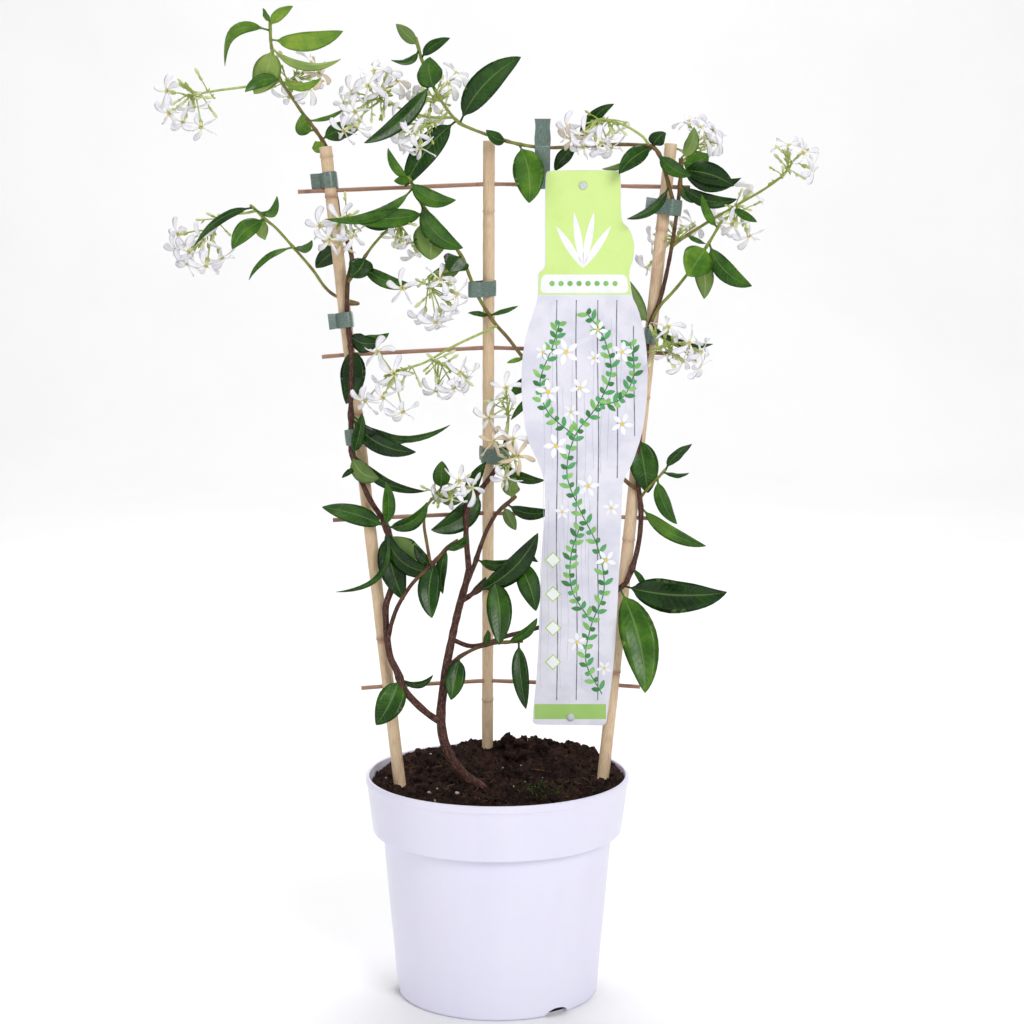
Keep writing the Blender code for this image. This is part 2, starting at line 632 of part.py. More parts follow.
def make_pot(parts, cutters):
    rim_round = 0.0006
    body_slope = (BODY_TOP_RADIUS - BASE_RADIUS) / (BODY_TOP - BASE_ROUND)
    inner_foot = BASE_RADIUS + body_slope * FLOOR - WALL
    profile = [
        (0.0, FLOOR),
        (inner_foot, FLOOR),
        (BODY_TOP_RADIUS - WALL, BODY_TOP + WALL / 2),
        (COLLAR_LOW_RADIUS - WALL, COLLAR_LOW + WALL / 2),
        (RIM_INNER_RADIUS, POT_HEIGHT - rim_round),
        (RIM_INNER_RADIUS + rim_round, POT_HEIGHT),
        (RIM_RADIUS - rim_round, POT_HEIGHT),
        (RIM_RADIUS, POT_HEIGHT - rim_round),
        (COLLAR_LOW_RADIUS, COLLAR_LOW),
        (BODY_TOP_RADIUS, BODY_TOP),
        (BASE_RADIUS, BASE_ROUND),
    ]
    turn = math.radians(45)
    profile.append((
        BASE_RADIUS - BASE_ROUND + BASE_ROUND * math.sin(turn),
        BASE_ROUND - BASE_ROUND * math.cos(turn),
    ))
    profile += [(BASE_RADIUS - BASE_ROUND, 0.0), (0.0, 0.0)]
    pot = turned("pot", profile, parts)
    holes = []
    for index in range(4):
        turn = math.radians(45 + 90 * index)
        bpy.ops.mesh.primitive_cylinder_add(vertices=10, radius=DRAIN_HOLE_RADIUS, depth=4 * FLOOR)
        hole = bpy.context.object
        hole.name = f"drain_hole_{index + 1}"
        hole.location = (DRAIN_HOLE_CIRCLE * math.cos(turn), DRAIN_HOLE_CIRCLE * math.sin(turn), 0.0)
        holes.append(as_helper(hole, cutters))
    for index in range(3):
        turn = math.radians(DRAIN_NOTCH_ANGLE + 120 * index)
        bpy.ops.mesh.primitive_cube_add(size=1)
        notch = bpy.context.object
        notch.name = f"drain_notch_{index + 1}"
        notch.scale = (DRAIN_NOTCH[1], DRAIN_NOTCH[0], DRAIN_NOTCH[2])
        notch.rotation_euler = (0, 0, turn)
        notch.location = (BASE_RADIUS * math.cos(turn), BASE_RADIUS * math.sin(turn), 0.0)
        holes.append(as_helper(notch, cutters))
    cut(pot, holes)
    return finish(pot, "pot")


def soil_height(x, y):
    """Height of the soil: a level bed, a ridge at the back, and small lumps."""
    ridge = 0.021 * math.exp(-(((y - 0.055) / 0.026) ** 2 + ((x - 0.014) / 0.045) ** 2))
    lumps = 0.0012 * math.sin(95 * x + 1.0) * math.sin(120 * y + 0.4)
    lumps += 0.0008 * math.sin(230 * x - 150 * y)
    reach = math.hypot(x, y) / RIM_INNER_RADIUS
    return SOIL_LEVEL + ridge + lumps - 0.004 * reach**4


def make_soil(parts, cutters, pillars):
    """The soil fills the pot: rings go up the wall, then inward over the top."""
    turns = [2 * math.pi * index / SOIL_STEPS for index in range(SOIL_STEPS)]
    slope = (BODY_TOP_RADIUS - BASE_RADIUS) / (BODY_TOP - BASE_ROUND)
    low = FLOOR + GAP
    flat = math.cos(math.pi / POT_STEPS)

    def inside(radius):
        return (radius - WALL) * flat - GAP

    walls = [
        (inside(BASE_RADIUS + slope * low), low),
        (inside(BODY_TOP_RADIUS) - 3 * GAP, BODY_TOP - GAP),
        (inside(COLLAR_LOW_RADIUS) - 3 * GAP, COLLAR_LOW),
    ]
    rings = [[Vector((r * math.cos(a), r * math.sin(a), z)) for a in turns] for r, z in walls]
    top = inside(COLLAR_LOW_RADIUS + 0.0012)
    for radius in (top, 0.077, 0.060, 0.042, 0.021):
        ring = []
        for a in turns:
            x = radius * math.cos(a)
            y = radius * math.sin(a)
            ring.append(Vector((x, y, soil_height(x, y))))
        rings.append(ring)
    soil = loft("soil", rings, parts, fan_ends=True)
    holes = []
    for name, points, radius in pillars:
        hole = tube("soil_hole_" + name, points, (radius, radius), 12, cutters)
        holes.append(as_helper(hole, cutters))
    cut(soil, holes)
    return finish(soil, "soil")


def cane_ends(name):
    """Foot in the soil, point where it leaves the soil, and top of a cane."""
    low, high, _radius = CANES[name]
    start = place(*low)
    top = place(*high)
    way = (start - top).normalized()
    return start + way * ((start.z - CANE_FOOT) / -way.z), start, top


def make_canes(parts, cutters, bars):
    for name, (_low, _high, radius) in CANES.items():
        foot, _start, top = cane_ends(name)
        cane = tube(name, [foot, top], (radius, radius), 12, parts)
        holes = []
        for bar, bar_points in bars.items():
            hole = tube(f"{name}_{bar}_hole", bar_points, (BAR_RADIUS + GAP * 1.5,) * 2, 6, cutters)
            holes.append(as_helper(hole, cutters))
        cut(cane, holes)
        finish(cane, "cane")


def bar_points():
    """Each bar's two ends and its three crossings with the canes."""
    made = {}
    for name, (left_end, left, middle, right, right_end) in BARS.items():
        crossings = []
        for cane, row in zip(CANES, (left, middle, right)):
            foot, _start, top = cane_ends(cane)
            crossings.append(at_row([foot, top], row))
        ends = []
        for px_row, inner in ((left_end, crossings[0]), (right_end, crossings[2])):
            ends.append(place(*px_row, inner.y / MM))
        made[name] = [ends[0], crossings[0], crossings[1], crossings[2], ends[1]]
    return made


def leaf(name, stem_points, spec, group):
    """A thin lance-shaped leaf: four-sided sections along a curved midrib, folded a little
    along it, on a short stalk that starts inside the stem. All sections keep to one side
    direction, square to the line from base to tip, so that the blade doesn't twist over."""
    bx, by, tx, ty, width, depth, roll, bend = spec
    base, _way = nearest(stem_points, place(bx, by, pixel_depth(stem_points, bx, by)))
    tip = place(tx, ty, depth)
    across = Vector((-(ty - by), tx - bx))
    across.normalize()
    middle = place((bx + tx) / 2 - across.x * bend * 2, (by + ty) / 2 - across.y * bend * 2,
                   (base.y / MM + depth) / 2 - 2.0)
    half = width * 0.5 * (tip.y + VIEW_BACK) / VIEW_FOCAL
    level = (tip - base).cross(Vector((0, -1, 0))).normalized()
    rings = []
    for t, wide in LEAF_STATIONS:
        centre = base * (1 - t) ** 2 + middle * 2 * t * (1 - t) + tip * t**2
        along = ((middle - base) * (1 - t) + (tip - middle) * t).normalized()
        side = (level - along * level.dot(along)).normalized()
        side = Matrix.Rotation(math.radians(roll), 3, along) @ side
        face = side.cross(along).normalized()
        reach = max(PETIOLE_RADIUS, half * wide) if t < 0.9 else PETIOLE_RADIUS * 0.4
        thick = PETIOLE_RADIUS * 2 if wide == 0.0 else LEAF_THICKNESS
        lift = LEAF_FOLD * half * wide
        rings.append([
            centre - side * reach + face * lift,
            centre + face * thick / 2,
            centre + side * reach + face * lift,
            centre - face * thick / 2,
        ])
    return loft(name, rings, group)


def pixel_depth(points, px, py):
    """Depth, in millimetres, of the polyline's point that is seen nearest to a pixel."""
    best = None
    for a, b in zip(points, points[1:]):
        for index in range(5):
            point = a + (b - a) * (index / 4)
            offset = place(px, py, point.y / MM) - point
            if best is None or offset.length < best[0]:
                best = (offset.length, point.y / MM)
    return best[1]


def radius_at(points, radii, target):
    """Radius of a tapering stem beside a target, its taper running from point to point."""
    index = min(range(len(points)), key=lambda i: (points[i] - target).length)
    return radii[0] + (radii[1] - radii[0]) * index / (len(points) - 1)


def set_back(points, radius, parent_points, parent_radii):
    """Shortens a route at its start, so that its end face stands just off the parent stem."""
    centre, parent_way = nearest(parent_points, points[0])
    parent_radius = radius_at(parent_points, parent_radii, centre)
    at_end = (centre - parent_points[-1]).length < GAP
    for index in range(1, len(points)):
        way = (points[index] - centre).normalized()
        cosine = abs(way.dot(parent_way))
        sine = max(0.35, math.sqrt(1 - cosine**2))
        reach = 3 * GAP if at_end else (parent_radius + radius * cosine + GAP * 1.2) / sine
        if (points[index] - centre).length > reach * 1.15:
            return [centre + way * reach] + points[index:]
    return points


def make_plant(parts):
    """Every stem, with its leaves joined to it, then every flower truss."""
    routes = {}
    for name, (foot, tip, parent, points) in STEMS.items():
        radii = (foot * MM, tip * MM)
        path = smooth_route(route(points))
        if parent:
            parent_path, parent_radii = routes[parent]
            path = set_back(path, radii[0], parent_path, parent_radii)
        routes[name] = (path, radii)
        stem = tube(name, path, radii, 6, parts)
        pieces = []
        for index, spec in enumerate(LEAVES.get(name, [])):
            pieces.append(leaf(f"{name}_leaf_{index + 1}", path, spec, parts))
        joined(stem, pieces, name)
        finish(stem, "leaf" if "shoot" in name or name in ("stem_top", "stem_middle") else "wood")
    for name, (parent, stalk, blooms) in TRUSSES.items():
        parent_path, parent_radii = routes[parent]
        path = smooth_route(route(stalk))
        path = set_back(path, PEDICEL_RADIUS * 1.5, parent_path, parent_radii)
        routes[name] = (path, (PEDICEL_RADIUS * 1.5, PEDICEL_RADIUS * 1.5))
        stalk_object = tube(name, path, (PEDICEL_RADIUS * 1.5, PEDICEL_RADIUS * 1.2), 4, parts)
        pieces = [hub(name, path[-1], parts)]
        for index, (px, py, depth) in enumerate(blooms):
            pieces.append(flower(f"{name}_{index + 1}", path[-1], place(px, py, depth), index, parts))
        joined(stalk_object, pieces, name)
        finish(stalk_object, "flower")
    return routes


def hub(name, centre, group):
    shape = bmesh.new()
    bmesh.ops.create_icosphere(shape, subdivisions=1, radius=HUB_RADIUS, matrix=Matrix.Translation(centre))
    return mesh_object(name + "_hub", shape, group)


def flower(name, start, centre, index, group):
    """A five-pointed star whose back narrows to a tube, which the pedicel carries on to the hub."""
    outward = (centre - start).normalized()
    facing = (outward + Vector((0, -0.6, 0))).normalized()
    side = facing.cross(Vector((0.13, 0.2, 0.97))).normalized()
    high = side.cross(facing)
    back = centre - facing * FLOWER_TUBE

    def ring(middle, reach, first):
        turns = [math.pi * (first + 2 * corner + 0.37 * index) / 5 for corner in range(5)]
        return [middle + (side * math.cos(t) + high * math.sin(t)) * reach for t in turns]

    shape = bmesh.new()
    rows = []
    for middle, reach, first in (
        (start, PEDICEL_RADIUS, 1), (back, PEDICEL_RADIUS * 1.4, 1), (centre, FLOWER_WAIST, 1),
    ):
        rows.append([shape.verts.new(point) for point in ring(middle, reach, first)])
    points = [shape.verts.new(point) for point in ring(centre, FLOWER_RADIUS, 0)]
    front = shape.verts.new(centre + facing * 0.0010)
    shape.faces.new(rows[0])
    for corner in range(5):
        before = (corner - 1) % 5
        for low, high_row in ((rows[0], rows[1]), (rows[1], rows[2])):
            shape.faces.new((low[before], low[corner], high_row[corner], high_row[before]))
        shape.faces.new((rows[2][before], rows[2][corner], points[corner]))
        shape.faces.new((rows[2][before], points[corner], front))
        shape.faces.new((points[corner], rows[2][corner], front))
    bmesh.ops.recalc_face_normals(shape, faces=shape.faces)
    return mesh_object(name, shape, group)


def band(name, circles, axes, origin, tail_turn, tail, group):
    """A flat tape laid round one or more circles and stapled tail to tail. The path is the
    outline that wraps the circles, opened where the two tails run out side by side."""
    u, v, axis = axes
    turn = math.radians(tail_turn)
    middle = GAP + TIE_THICKNESS / 2

    def outermost(angle):
        way = Vector((math.cos(angle), math.sin(angle)))
        return max(circles, key=lambda c: c[0] * way.x + c[1] * way.y + c[2])

    def support(angle, circle=None):
        x, y, r = circle or outermost(angle)
        way = Vector((math.cos(angle), math.sin(angle)))
        return Vector((x, y)) + way * (r + middle) / math.cos(BAND_STEP / 2)

    path = []
    steps = 11
    for index in range(steps):
        angle = turn + math.pi - (steps - 1) * BAND_STEP / 2 + index * BAND_STEP
        path.append(support(angle))
        low, high = angle, angle + BAND_STEP
        here, after = outermost(low), outermost(high)
        if index < steps - 1 and here != after:
            for _halving in range(12):
                mid = (low + high) / 2
                low, high = (mid, high) if outermost(mid) == here else (low, mid)
            path += [support(low, here), support(high, after)]
    way = Vector((math.cos(turn), math.sin(turn)))
    aside = Vector((-way.y, way.x)) * (TIE_THICKNESS / 2 + GAP / 2)
    root = support(turn)
    path = [root + way * (tail + 0.0012) + aside, root + way * 0.0012 + aside] + path
    path += [root + way * 0.0012 - aside, root + way * tail - aside]
    normals = []
    for index in range(len(path)):
        before = path[max(0, index - 1)]
        after = path[min(len(path) - 1, index + 1)]
        run = (after - before).normalized()
        normals.append(Vector((run.y, -run.x)))
    rings = []
    for point, normal in zip(path, normals):
        ring = []
        for out, up in ((-1, -1), (1, -1), (1, 1), (-1, 1)):
            flat = point + normal * out * TIE_THICKNESS / 2
            ring.append(origin + u * flat.x + v * flat.y + axis * up * TIE_WIDTH / 2)
        rings.append(ring)
    return finish(loft(name, rings, group), "tie")


def inside_band(path, origin, axis):
    """Offsets from the origin of the points of a path that lie within the width of a tape."""
    found = []
    for a, b in zip(path, path[1:]):
        for index in range(12):
            offset = a + (b - a) * (index / 12) - origin
            if abs(offset.dot(axis)) < TIE_WIDTH / 2 + 0.0015:
                found.append(offset)
    return found[:: max(1, len(found) // 4)] + found[-1:]


def make_ties(parts, routes, bars):
    for name, (cane, row, stems, tail_turn, tail) in TIES.items():
        foot, _start, top = cane_ends(cane)
        origin = at_row([foot, top], row)
        axis = (top - foot).normalized()
        v = axis.cross(Vector((1, 0, 0))).normalized()
        u = v.cross(axis).normalized()
        circles = [(0.0, 0.0, CANES[cane][2])]
        for stem in stems:
            path, radii = routes[stem]
            for offset in inside_band(path, origin, axis):
                reach = radius_at(path, radii, origin + offset) + TIE_ROOM
                circles.append((offset.dot(u), offset.dot(v), reach))
        band(name, circles, (u, v, axis), origin, tail_turn, tail * MM, parts)
    stem_path, stem_radii = routes["stem_top"]
    bar = bars["crossbar_1"]
    low = nearest(bar, place(TOP_TIE_COLUMN, 184.5, 30))[0]
    high = nearest(stem_path, place(TOP_TIE_COLUMN, 147.6, 23))[0]
    v = Vector((0, 0, 1))
    u = Vector((0, 1, 0))
    circles = [(0, 0, BAR_RADIUS + TIE_ROOM)]
    offset = high - low
    circles.append((offset.dot(u), offset.dot(v), max(stem_radii) + TIE_ROOM))
    band("tie_top_bar", circles, (u, v, Vector((1, 0, 0))), low, 90, TOP_TIE_TAIL, parts)


def label_frame():
    """Origin and axes of the label's plane."""
    top = place(583, LABEL_ROWS[0], LABEL_TOP_DEPTH)
    foot = place(570, LABEL_ROWS[1], LABEL_FOOT_DEPTH)
    up = Vector((0, top.y - foot.y, top.z - foot.z)).normalized()
    right = Vector((1, 0, 0))
    return foot, right, up, right.cross(up)


def on_label(px, py):
    """Where the line of sight through a pixel meets the label's plane, along its axes."""
    foot, right, up, normal = label_frame()
    way = sight(px, py)
    point = VIEW_EYE + way * ((foot - VIEW_EYE).dot(normal) / way.dot(normal))
    return (point - foot).dot(right), (point - foot).dot(up)


def make_label(parts, cutters):
    foot, right, up, normal = label_frame()
    outline = [on_label(*pixel) for pixel in LABEL_LEFT + LABEL_RIGHT]
    curve = bpy.data.curves.new("label", "CURVE")
    curve.dimensions = "2D"
    curve.fill_mode = "BOTH"
    curve.extrude = LABEL_THICKNESS / 2
    spline = curve.splines.new("POLY")
    spline.points.add(len(outline) - 1)
    for point, (x, y) in zip(spline.points, outline):
        point.co = (x, y, 0.0, 1.0)
    spline.use_cyclic_u = True
    drawn = bpy.data.objects.new("label_curve", curve)
    parts.objects.link(drawn)
    bpy.context.view_layer.update()
    mesh = bpy.data.meshes.new_from_object(drawn.evaluated_get(bpy.context.evaluated_depsgraph_get()))
    bpy.data.objects.remove(drawn, do_unlink=True)
    frame = Matrix((right, up, normal)).transposed().to_4x4()
    frame.translation = foot
    shape = bmesh.new()
    shape.from_mesh(mesh)
    bmesh.ops.remove_doubles(shape, verts=shape.verts, dist=1e-6)
    bmesh.ops.transform(shape, matrix=frame, verts=shape.verts)
    bmesh.ops.recalc_face_normals(shape, faces=shape.faces)
    label = mesh_object("label", shape, parts)
    holes = []
    for name, pixel in PEGS.items():
        x, y = on_label(*pixel)
        centre = foot + right * x + up * y
        ends = [centre - normal * 0.003, centre + normal * 0.003]
        drill = tube(name + "_hole", ends, (PEG_PIN_RADIUS + GAP,) * 2, 12, cutters)
        holes.append(as_helper(drill, cutters))
    cut(label, holes)
    return finish(label, "label")


def make_pegs(parts, bars):
    """A round head in front of the label, a pin through it, and a foot on the bar behind it."""
    foot, right, up, normal = label_frame()
    front = -1 if normal.y > 0 else 1
    for name, pixel in PEGS.items():
        x, y = on_label(*pixel)
        centre = foot + right * x + up * y
        outward = normal * front
        bar_name = "crossbar_1" if name.endswith("top") else "crossbar_4"
        target, _way = nearest(bars[bar_name], centre)
        face = LABEL_THICKNESS / 2 + GAP
        dome = [centre + outward * (face + rise) for rise in (0.0, 0.0008, 0.0020)]
        head = tube(name, dome, (PEG_HEAD_RADIUS, PEG_HEAD_RADIUS * 0.55), 12, parts)
        if name.endswith("top"):
            end = Vector((target.x, target.y - BAR_RADIUS - GAP, target.z))
            reach = [centre + outward * (face + 0.0006), centre - outward * 0.002, end]
        else:
            low = centre - outward * 0.002
            high = Vector((target.x, target.y - BAR_RADIUS - GAP - PEG_PIN_RADIUS, target.z + 0.002))
            reach = [centre + outward * (face + 0.0006), low, low - outward * 0.003 + up * 0.004, high]
        pin = tube(name + "_pin", reach, (PEG_PIN_RADIUS, PEG_PIN_RADIUS), 8, parts)
        joined(head, [pin], name)
        finish(head, "peg")


def main():
    clear_scene()
    parts = new_collection("star_jasmine")
    cutters = new_collection("cutters")
    bars = bar_points()
    make_pot(parts, cutters)
    routes = make_plant(parts)
    for name, points in bars.items():
        finish(tube(name, points, (BAR_RADIUS, BAR_RADIUS), 6, parts), "crossbar")
    make_canes(parts, cutters, bars)
    pillars = []
    for name, (_low, _high, radius) in CANES.items():
        foot, start, top = cane_ends(name)
        way = (top - foot).normalized()
        pillars.append((name, [foot - way * 2 * GAP, start + way * 0.04], radius + GAP))
    trunk_path, trunk_radii = routes["trunk"]
    start = trunk_path[0] * 2 - trunk_path[1]
    trunk_hole = [trunk_path[0] + (start - trunk_path[0]) * 0.1] + trunk_path[:5]
    pillars.append(("trunk", trunk_hole, trunk_radii[0] + GAP))
    make_soil(parts, cutters, pillars)
    make_ties(parts, routes, bars)
    make_label(parts, cutters)
    make_pegs(parts, bars)
    add_booleans()


main()
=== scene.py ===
import math

import bmesh
import bpy
import numpy as np
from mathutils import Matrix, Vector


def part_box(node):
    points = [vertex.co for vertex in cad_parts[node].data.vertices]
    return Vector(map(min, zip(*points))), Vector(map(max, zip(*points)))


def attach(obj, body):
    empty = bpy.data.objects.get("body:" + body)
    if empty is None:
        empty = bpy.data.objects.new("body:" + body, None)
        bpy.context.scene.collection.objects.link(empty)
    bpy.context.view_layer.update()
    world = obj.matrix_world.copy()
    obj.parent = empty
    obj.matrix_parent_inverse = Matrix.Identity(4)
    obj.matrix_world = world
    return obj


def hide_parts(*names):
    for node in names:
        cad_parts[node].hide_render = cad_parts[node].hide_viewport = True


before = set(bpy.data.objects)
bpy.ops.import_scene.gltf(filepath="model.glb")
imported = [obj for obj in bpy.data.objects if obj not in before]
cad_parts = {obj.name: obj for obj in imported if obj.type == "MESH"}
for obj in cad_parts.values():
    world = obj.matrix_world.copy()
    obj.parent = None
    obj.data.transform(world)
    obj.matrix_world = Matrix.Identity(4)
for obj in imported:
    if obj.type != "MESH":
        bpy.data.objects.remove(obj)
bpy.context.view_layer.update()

# A star jasmine on its bamboo rack. A place given by two pixels and a depth is a point of the
# photograph and its distance behind the pot's centre in millimetres; a place nearer than the
# centre has a negative depth.
POT_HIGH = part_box("pot")[1]

# Driving dimensions, in metres.
MM = 0.001
POT_HEIGHT = POT_HIGH.z
RIM_RADIUS = POT_HIGH.x
RIM_INNER_RADIUS = RIM_RADIUS - 2.3 * MM
COLLAR_LOW_RADIUS = 0.0900
COLLAR_LOW = 0.1214
BODY_TOP_RADIUS = 0.0828
BODY_TOP = 0.1194
BASE_RADIUS = 0.0727
BASE_ROUND = 0.0030
WALL = 0.0015
FLOOR = 0.0022
DRAIN_HOLES = 4
DRAIN_HOLE_RADIUS = 0.0045
DRAIN_HOLE_CIRCLE = 0.048
DRAIN_NOTCHES = 3
DRAIN_NOTCH = (0.019, 0.010, 0.011)
DRAIN_NOTCH_ANGLE = -54.0
SOIL_LEVEL = 0.1500
SIDE_CANE_RADIUS = 0.0045
MIDDLE_CANE_RADIUS = 0.0043
CANE_FOOT = 0.030
BAR_RADIUS = 0.0015
TIE_WIDTH = 0.011
TIE_THICKNESS = 0.0004
TIE_ROOM = 0.0007
LABEL_THICKNESS = 0.0006
FLOWER_RADIUS = 0.0125
FLOWER_TUBE = 0.0075

# Where the photograph was taken from: metres, radians and pixels of a 1024 by 1024 frame.
VIEW_EYE = np.array((0.0106, -1.6516, 0.5853))
VIEW_PITCH = 0.1406
VIEW_FOCAL = 2342.2
VIEW_FRAME = 1024
SENSOR = 36.0
VIEW_MIDDLE = VIEW_FRAME / 2

# Canes: foot and top, pixels and depth.
CANES = {
    "cane_left": ((400.5, 790, 0), (325.5, 147, 30), SIDE_CANE_RADIUS),
    "cane_middle": ((487.5, 742, 56), (489.0, 141, 30), MIDDLE_CANE_RADIUS),
    "cane_right": ((603.0, 778, 9), (671.0, 144, 30), SIDE_CANE_RADIUS),
}

# Crossbars: pixel row at the left end, at each cane and at the right end.
BARS = {
    "crossbar_1": ((298.0, 191.8), 190.4, 184.0, 186.8, (690.0, 187.6)),
    "crossbar_2": ((322.0, 356.9), 354.5, 347.6, 352.6, (673.0, 353.6)),
    "crossbar_3": ((333.0, 520.1), 518.0, 512.8, 517.4, (657.0, 518.8)),
    "crossbar_4": ((361.5, 688.0), 686.0, 680.6, 685.0, (640.0, 686.8)),
}

# Stems: radii at foot and tip in millimetres, age at foot and tip (1 bark, 0 green), freshness
# of the leaves (0 dark and old, 1 young and bright), parent, route in pixels and depth.
STEMS = {
    "trunk": ((4.0, 2.4), (1.0, 1.0), None, None, [
        (487, 799, 2), (481, 787, 0), (466, 777, -5), (454, 763, -9), (446, 747, -11), (442, 731, -11),
        (441, 712, -10), (443, 692, -8), (446, 669, -6), (451, 643, -4), (456, 620, -2), (461, 600, 0),
        (466, 583, 3), (469, 570, 5),
    ]),
    "branch_left": ((2.7, 2.1), (1.0, 0.95), 0.3, "trunk", [
        (441, 724, -10), (427, 713, -13), (411, 698, -13), (403, 687, -11), (397, 671, -9),
        (391, 659, -7), (388, 645, -6), (386, 622, -5), (386, 605, -4), (392, 587, -3), (396, 566, -2),
        (391, 541, 0), (383, 519, 1),
    ]),
    "stem_left": ((2.0, 1.5), (0.95, 0.6), 0.22, "branch_left", [
        (381, 514, 1), (372, 503, 2), (364, 487, 4), (357, 470, 7), (352, 452, 8), (351, 436, 8),
        (351, 415, 7), (350.8, 396, 7), (351.5, 362, 8), (350, 340, 10), (347.5, 320, 13),
        (347, 300, 14), (348, 280, 16), (352, 262, 22), (349, 246, 31), (341, 225, 37), (335, 190, 39),
        (330, 160, 39), (326, 146, 38),
    ]),
    "shoot_top_left": ((1.3, 0.9), (0.45, 0.0), 0.62, "stem_left", [
        (325.5, 144, 38), (321, 138, 34), (312.5, 126, 29), (302.5, 113, 24), (289, 93, 18),
        (281, 81, 14), (275, 63, 10), (271, 43, 6), (270, 22, 4),
    ]),
    "shoot_upper_left": ((1.3, 0.9), (0.4, 0.05), 0.4, "stem_left", [
        (348, 303, 14), (356.5, 304, 20), (357, 303, 30), (346, 300, 35), (334, 295, 30),
        (324, 286, 16), (312.5, 269.5, 4), (294, 248, -2), (276, 228, -6), (266, 220, -8),
        (256, 210, -10), (250, 205, -11),
    ]),
    "shoot_inner_left": ((1.2, 0.8), (0.35, 0.1), 0.34, "stem_left", [
        (348.5, 284, 16), (356, 271, 11), (366, 255, 11), (375, 243, 10), (386, 231, 9), (394, 224, 8),
        (399, 215, 7),
    ]),
    "branch_centre_left": ((1.6, 1.2), (0.9, 0.6), 0.26, "branch_left", [
        (388, 640, -6), (392, 622, -13), (399, 604, -18), (412, 584, -20), (426, 570, -18),
        (438, 558, -14), (448, 547, -10), (458, 540, -7),
    ]),
    "shoot_upright": ((1.2, 0.9), (0.5, 0.2), 0.34, "branch_centre_left", [
        (432, 564, -16), (427, 544, -4), (424, 524, 6), (426, 508, 12), (433, 498, 14), (441, 489, 14),
    ]),
    "fork_left": ((2.2, 1.6), (1.0, 0.9), 0.26, "trunk", [
        (469, 569, 5), (467, 549, 9), (466, 533, 13), (468, 506, 21), (482, 488, 31), (496, 469, 36),
        (503, 455, 36), (506, 440, 34),
    ]),
    "fork_right": ((1.8, 1.3), (0.9, 0.6), 0.3, "trunk", [
        (464, 590, 2), (474, 566, 14), (481, 545, 22), (488, 528, 29), (497, 513, 32), (508, 503, 32),
        (516, 496, 31),
    ]),
    "branch_side": ((1.7, 1.2), (0.9, 0.6), 0.26, "trunk", [
        (460, 604, -1), (472, 594, -6), (487, 582, -9), (500, 572, -10), (516, 559, -10),
        (528, 547, -9),
    ]),
    "branch_low_right": ((1.5, 1.1), (0.85, 0.5), 0.26, "trunk", [
        (446, 667, -6), (458, 658, -11), (470, 651, -13), (482, 646, -14), (496, 643, -14),
        (510, 642, -13), (523, 641, -12),
    ]),
    "branch_to_right": ((1.7, 1.5), (0.9, 0.9), 0.3, "trunk", [
        (452, 640, -4), (470, 646, 8), (488, 643, 18), (507, 636, 22), (534, 629, 21), (560, 620, 19),
        (590, 606, 15), (612, 594, 10), (626, 583, 8),
    ]),
    "stem_right": ((1.9, 1.3), (0.95, 0.5), 0.34, "branch_to_right", [
        (628, 580, 8), (633, 566, 8), (639, 541, 11), (641, 516, 12), (640, 499, 12), (638, 480, 11.5),
        (639, 440, 12.5), (642, 400, 13.5), (646, 360, 15), (650, 325, 16.5), (660, 300, 19),
        (668.5, 264, 21), (674.5, 229, 21), (679, 195, 22), (681, 170, 22), (681, 158, 22),
    ]),
    "shoot_right_low": ((1.1, 0.8), (0.4, 0.1), 0.36, "stem_right", [
        (640, 497, 12), (648, 488, 7), (656, 480, 4), (666, 469, 2),
    ]),
    "shoot_right_upper": ((1.2, 0.9), (0.3, 0.0), 0.46, "stem_right", [
        (651, 322, 17), (660, 306, 9), (672, 293, 7), (686, 276, 7), (698, 259, 8), (707, 246, 8),
        (716, 231, 8), (722, 220, 8),
    ]),
    "shoot_right_flowers": ((1.2, 0.8), (0.3, 0.0), 0.48, "stem_right", [
        (672, 245, 21), (683, 238, 15), (700, 227, 14), (718, 216, 13), (731, 209, 12), (742, 202, 11),
        (763, 190, 8), (783, 176, 5),
    ]),
    "stem_middle": ((1.5, 1.1), (0.6, 0.05), 0.44, "stem_right", [
        (638, 492, 12), (628, 483, 11), (616, 470, 13), (590, 438, 19), (560, 402, 21),
        (523, 357.5, 22), (508, 338, 24), (494, 322, 25), (479, 298, 26), (469, 274.6, 24),
        (464, 261, 21), (456, 248, 19), (442.7, 231.5, 15), (428, 213, 11), (418, 197, 8),
        (413, 186, 6), (408, 176, 4),
    ]),
    "stem_top": ((1.4, 1.0), (0.5, 0.0), 0.38, "stem_right", [
        (676.5, 212, 21), (671, 193, 17), (666, 175, 16), (661, 158, 15), (653, 147, 15),
        (640, 145, 15), (615, 144.5, 17), (590, 146, 19), (569, 147, 21), (543, 147.6, 23),
        (516, 143.5, 20), (491, 136, 17), (466, 126.5, 13), (456, 120, 11), (444, 105, 7), (433, 86, 3),
        (424, 66, 0), (419, 50, -2), (416, 37, -4),
    ]),
}

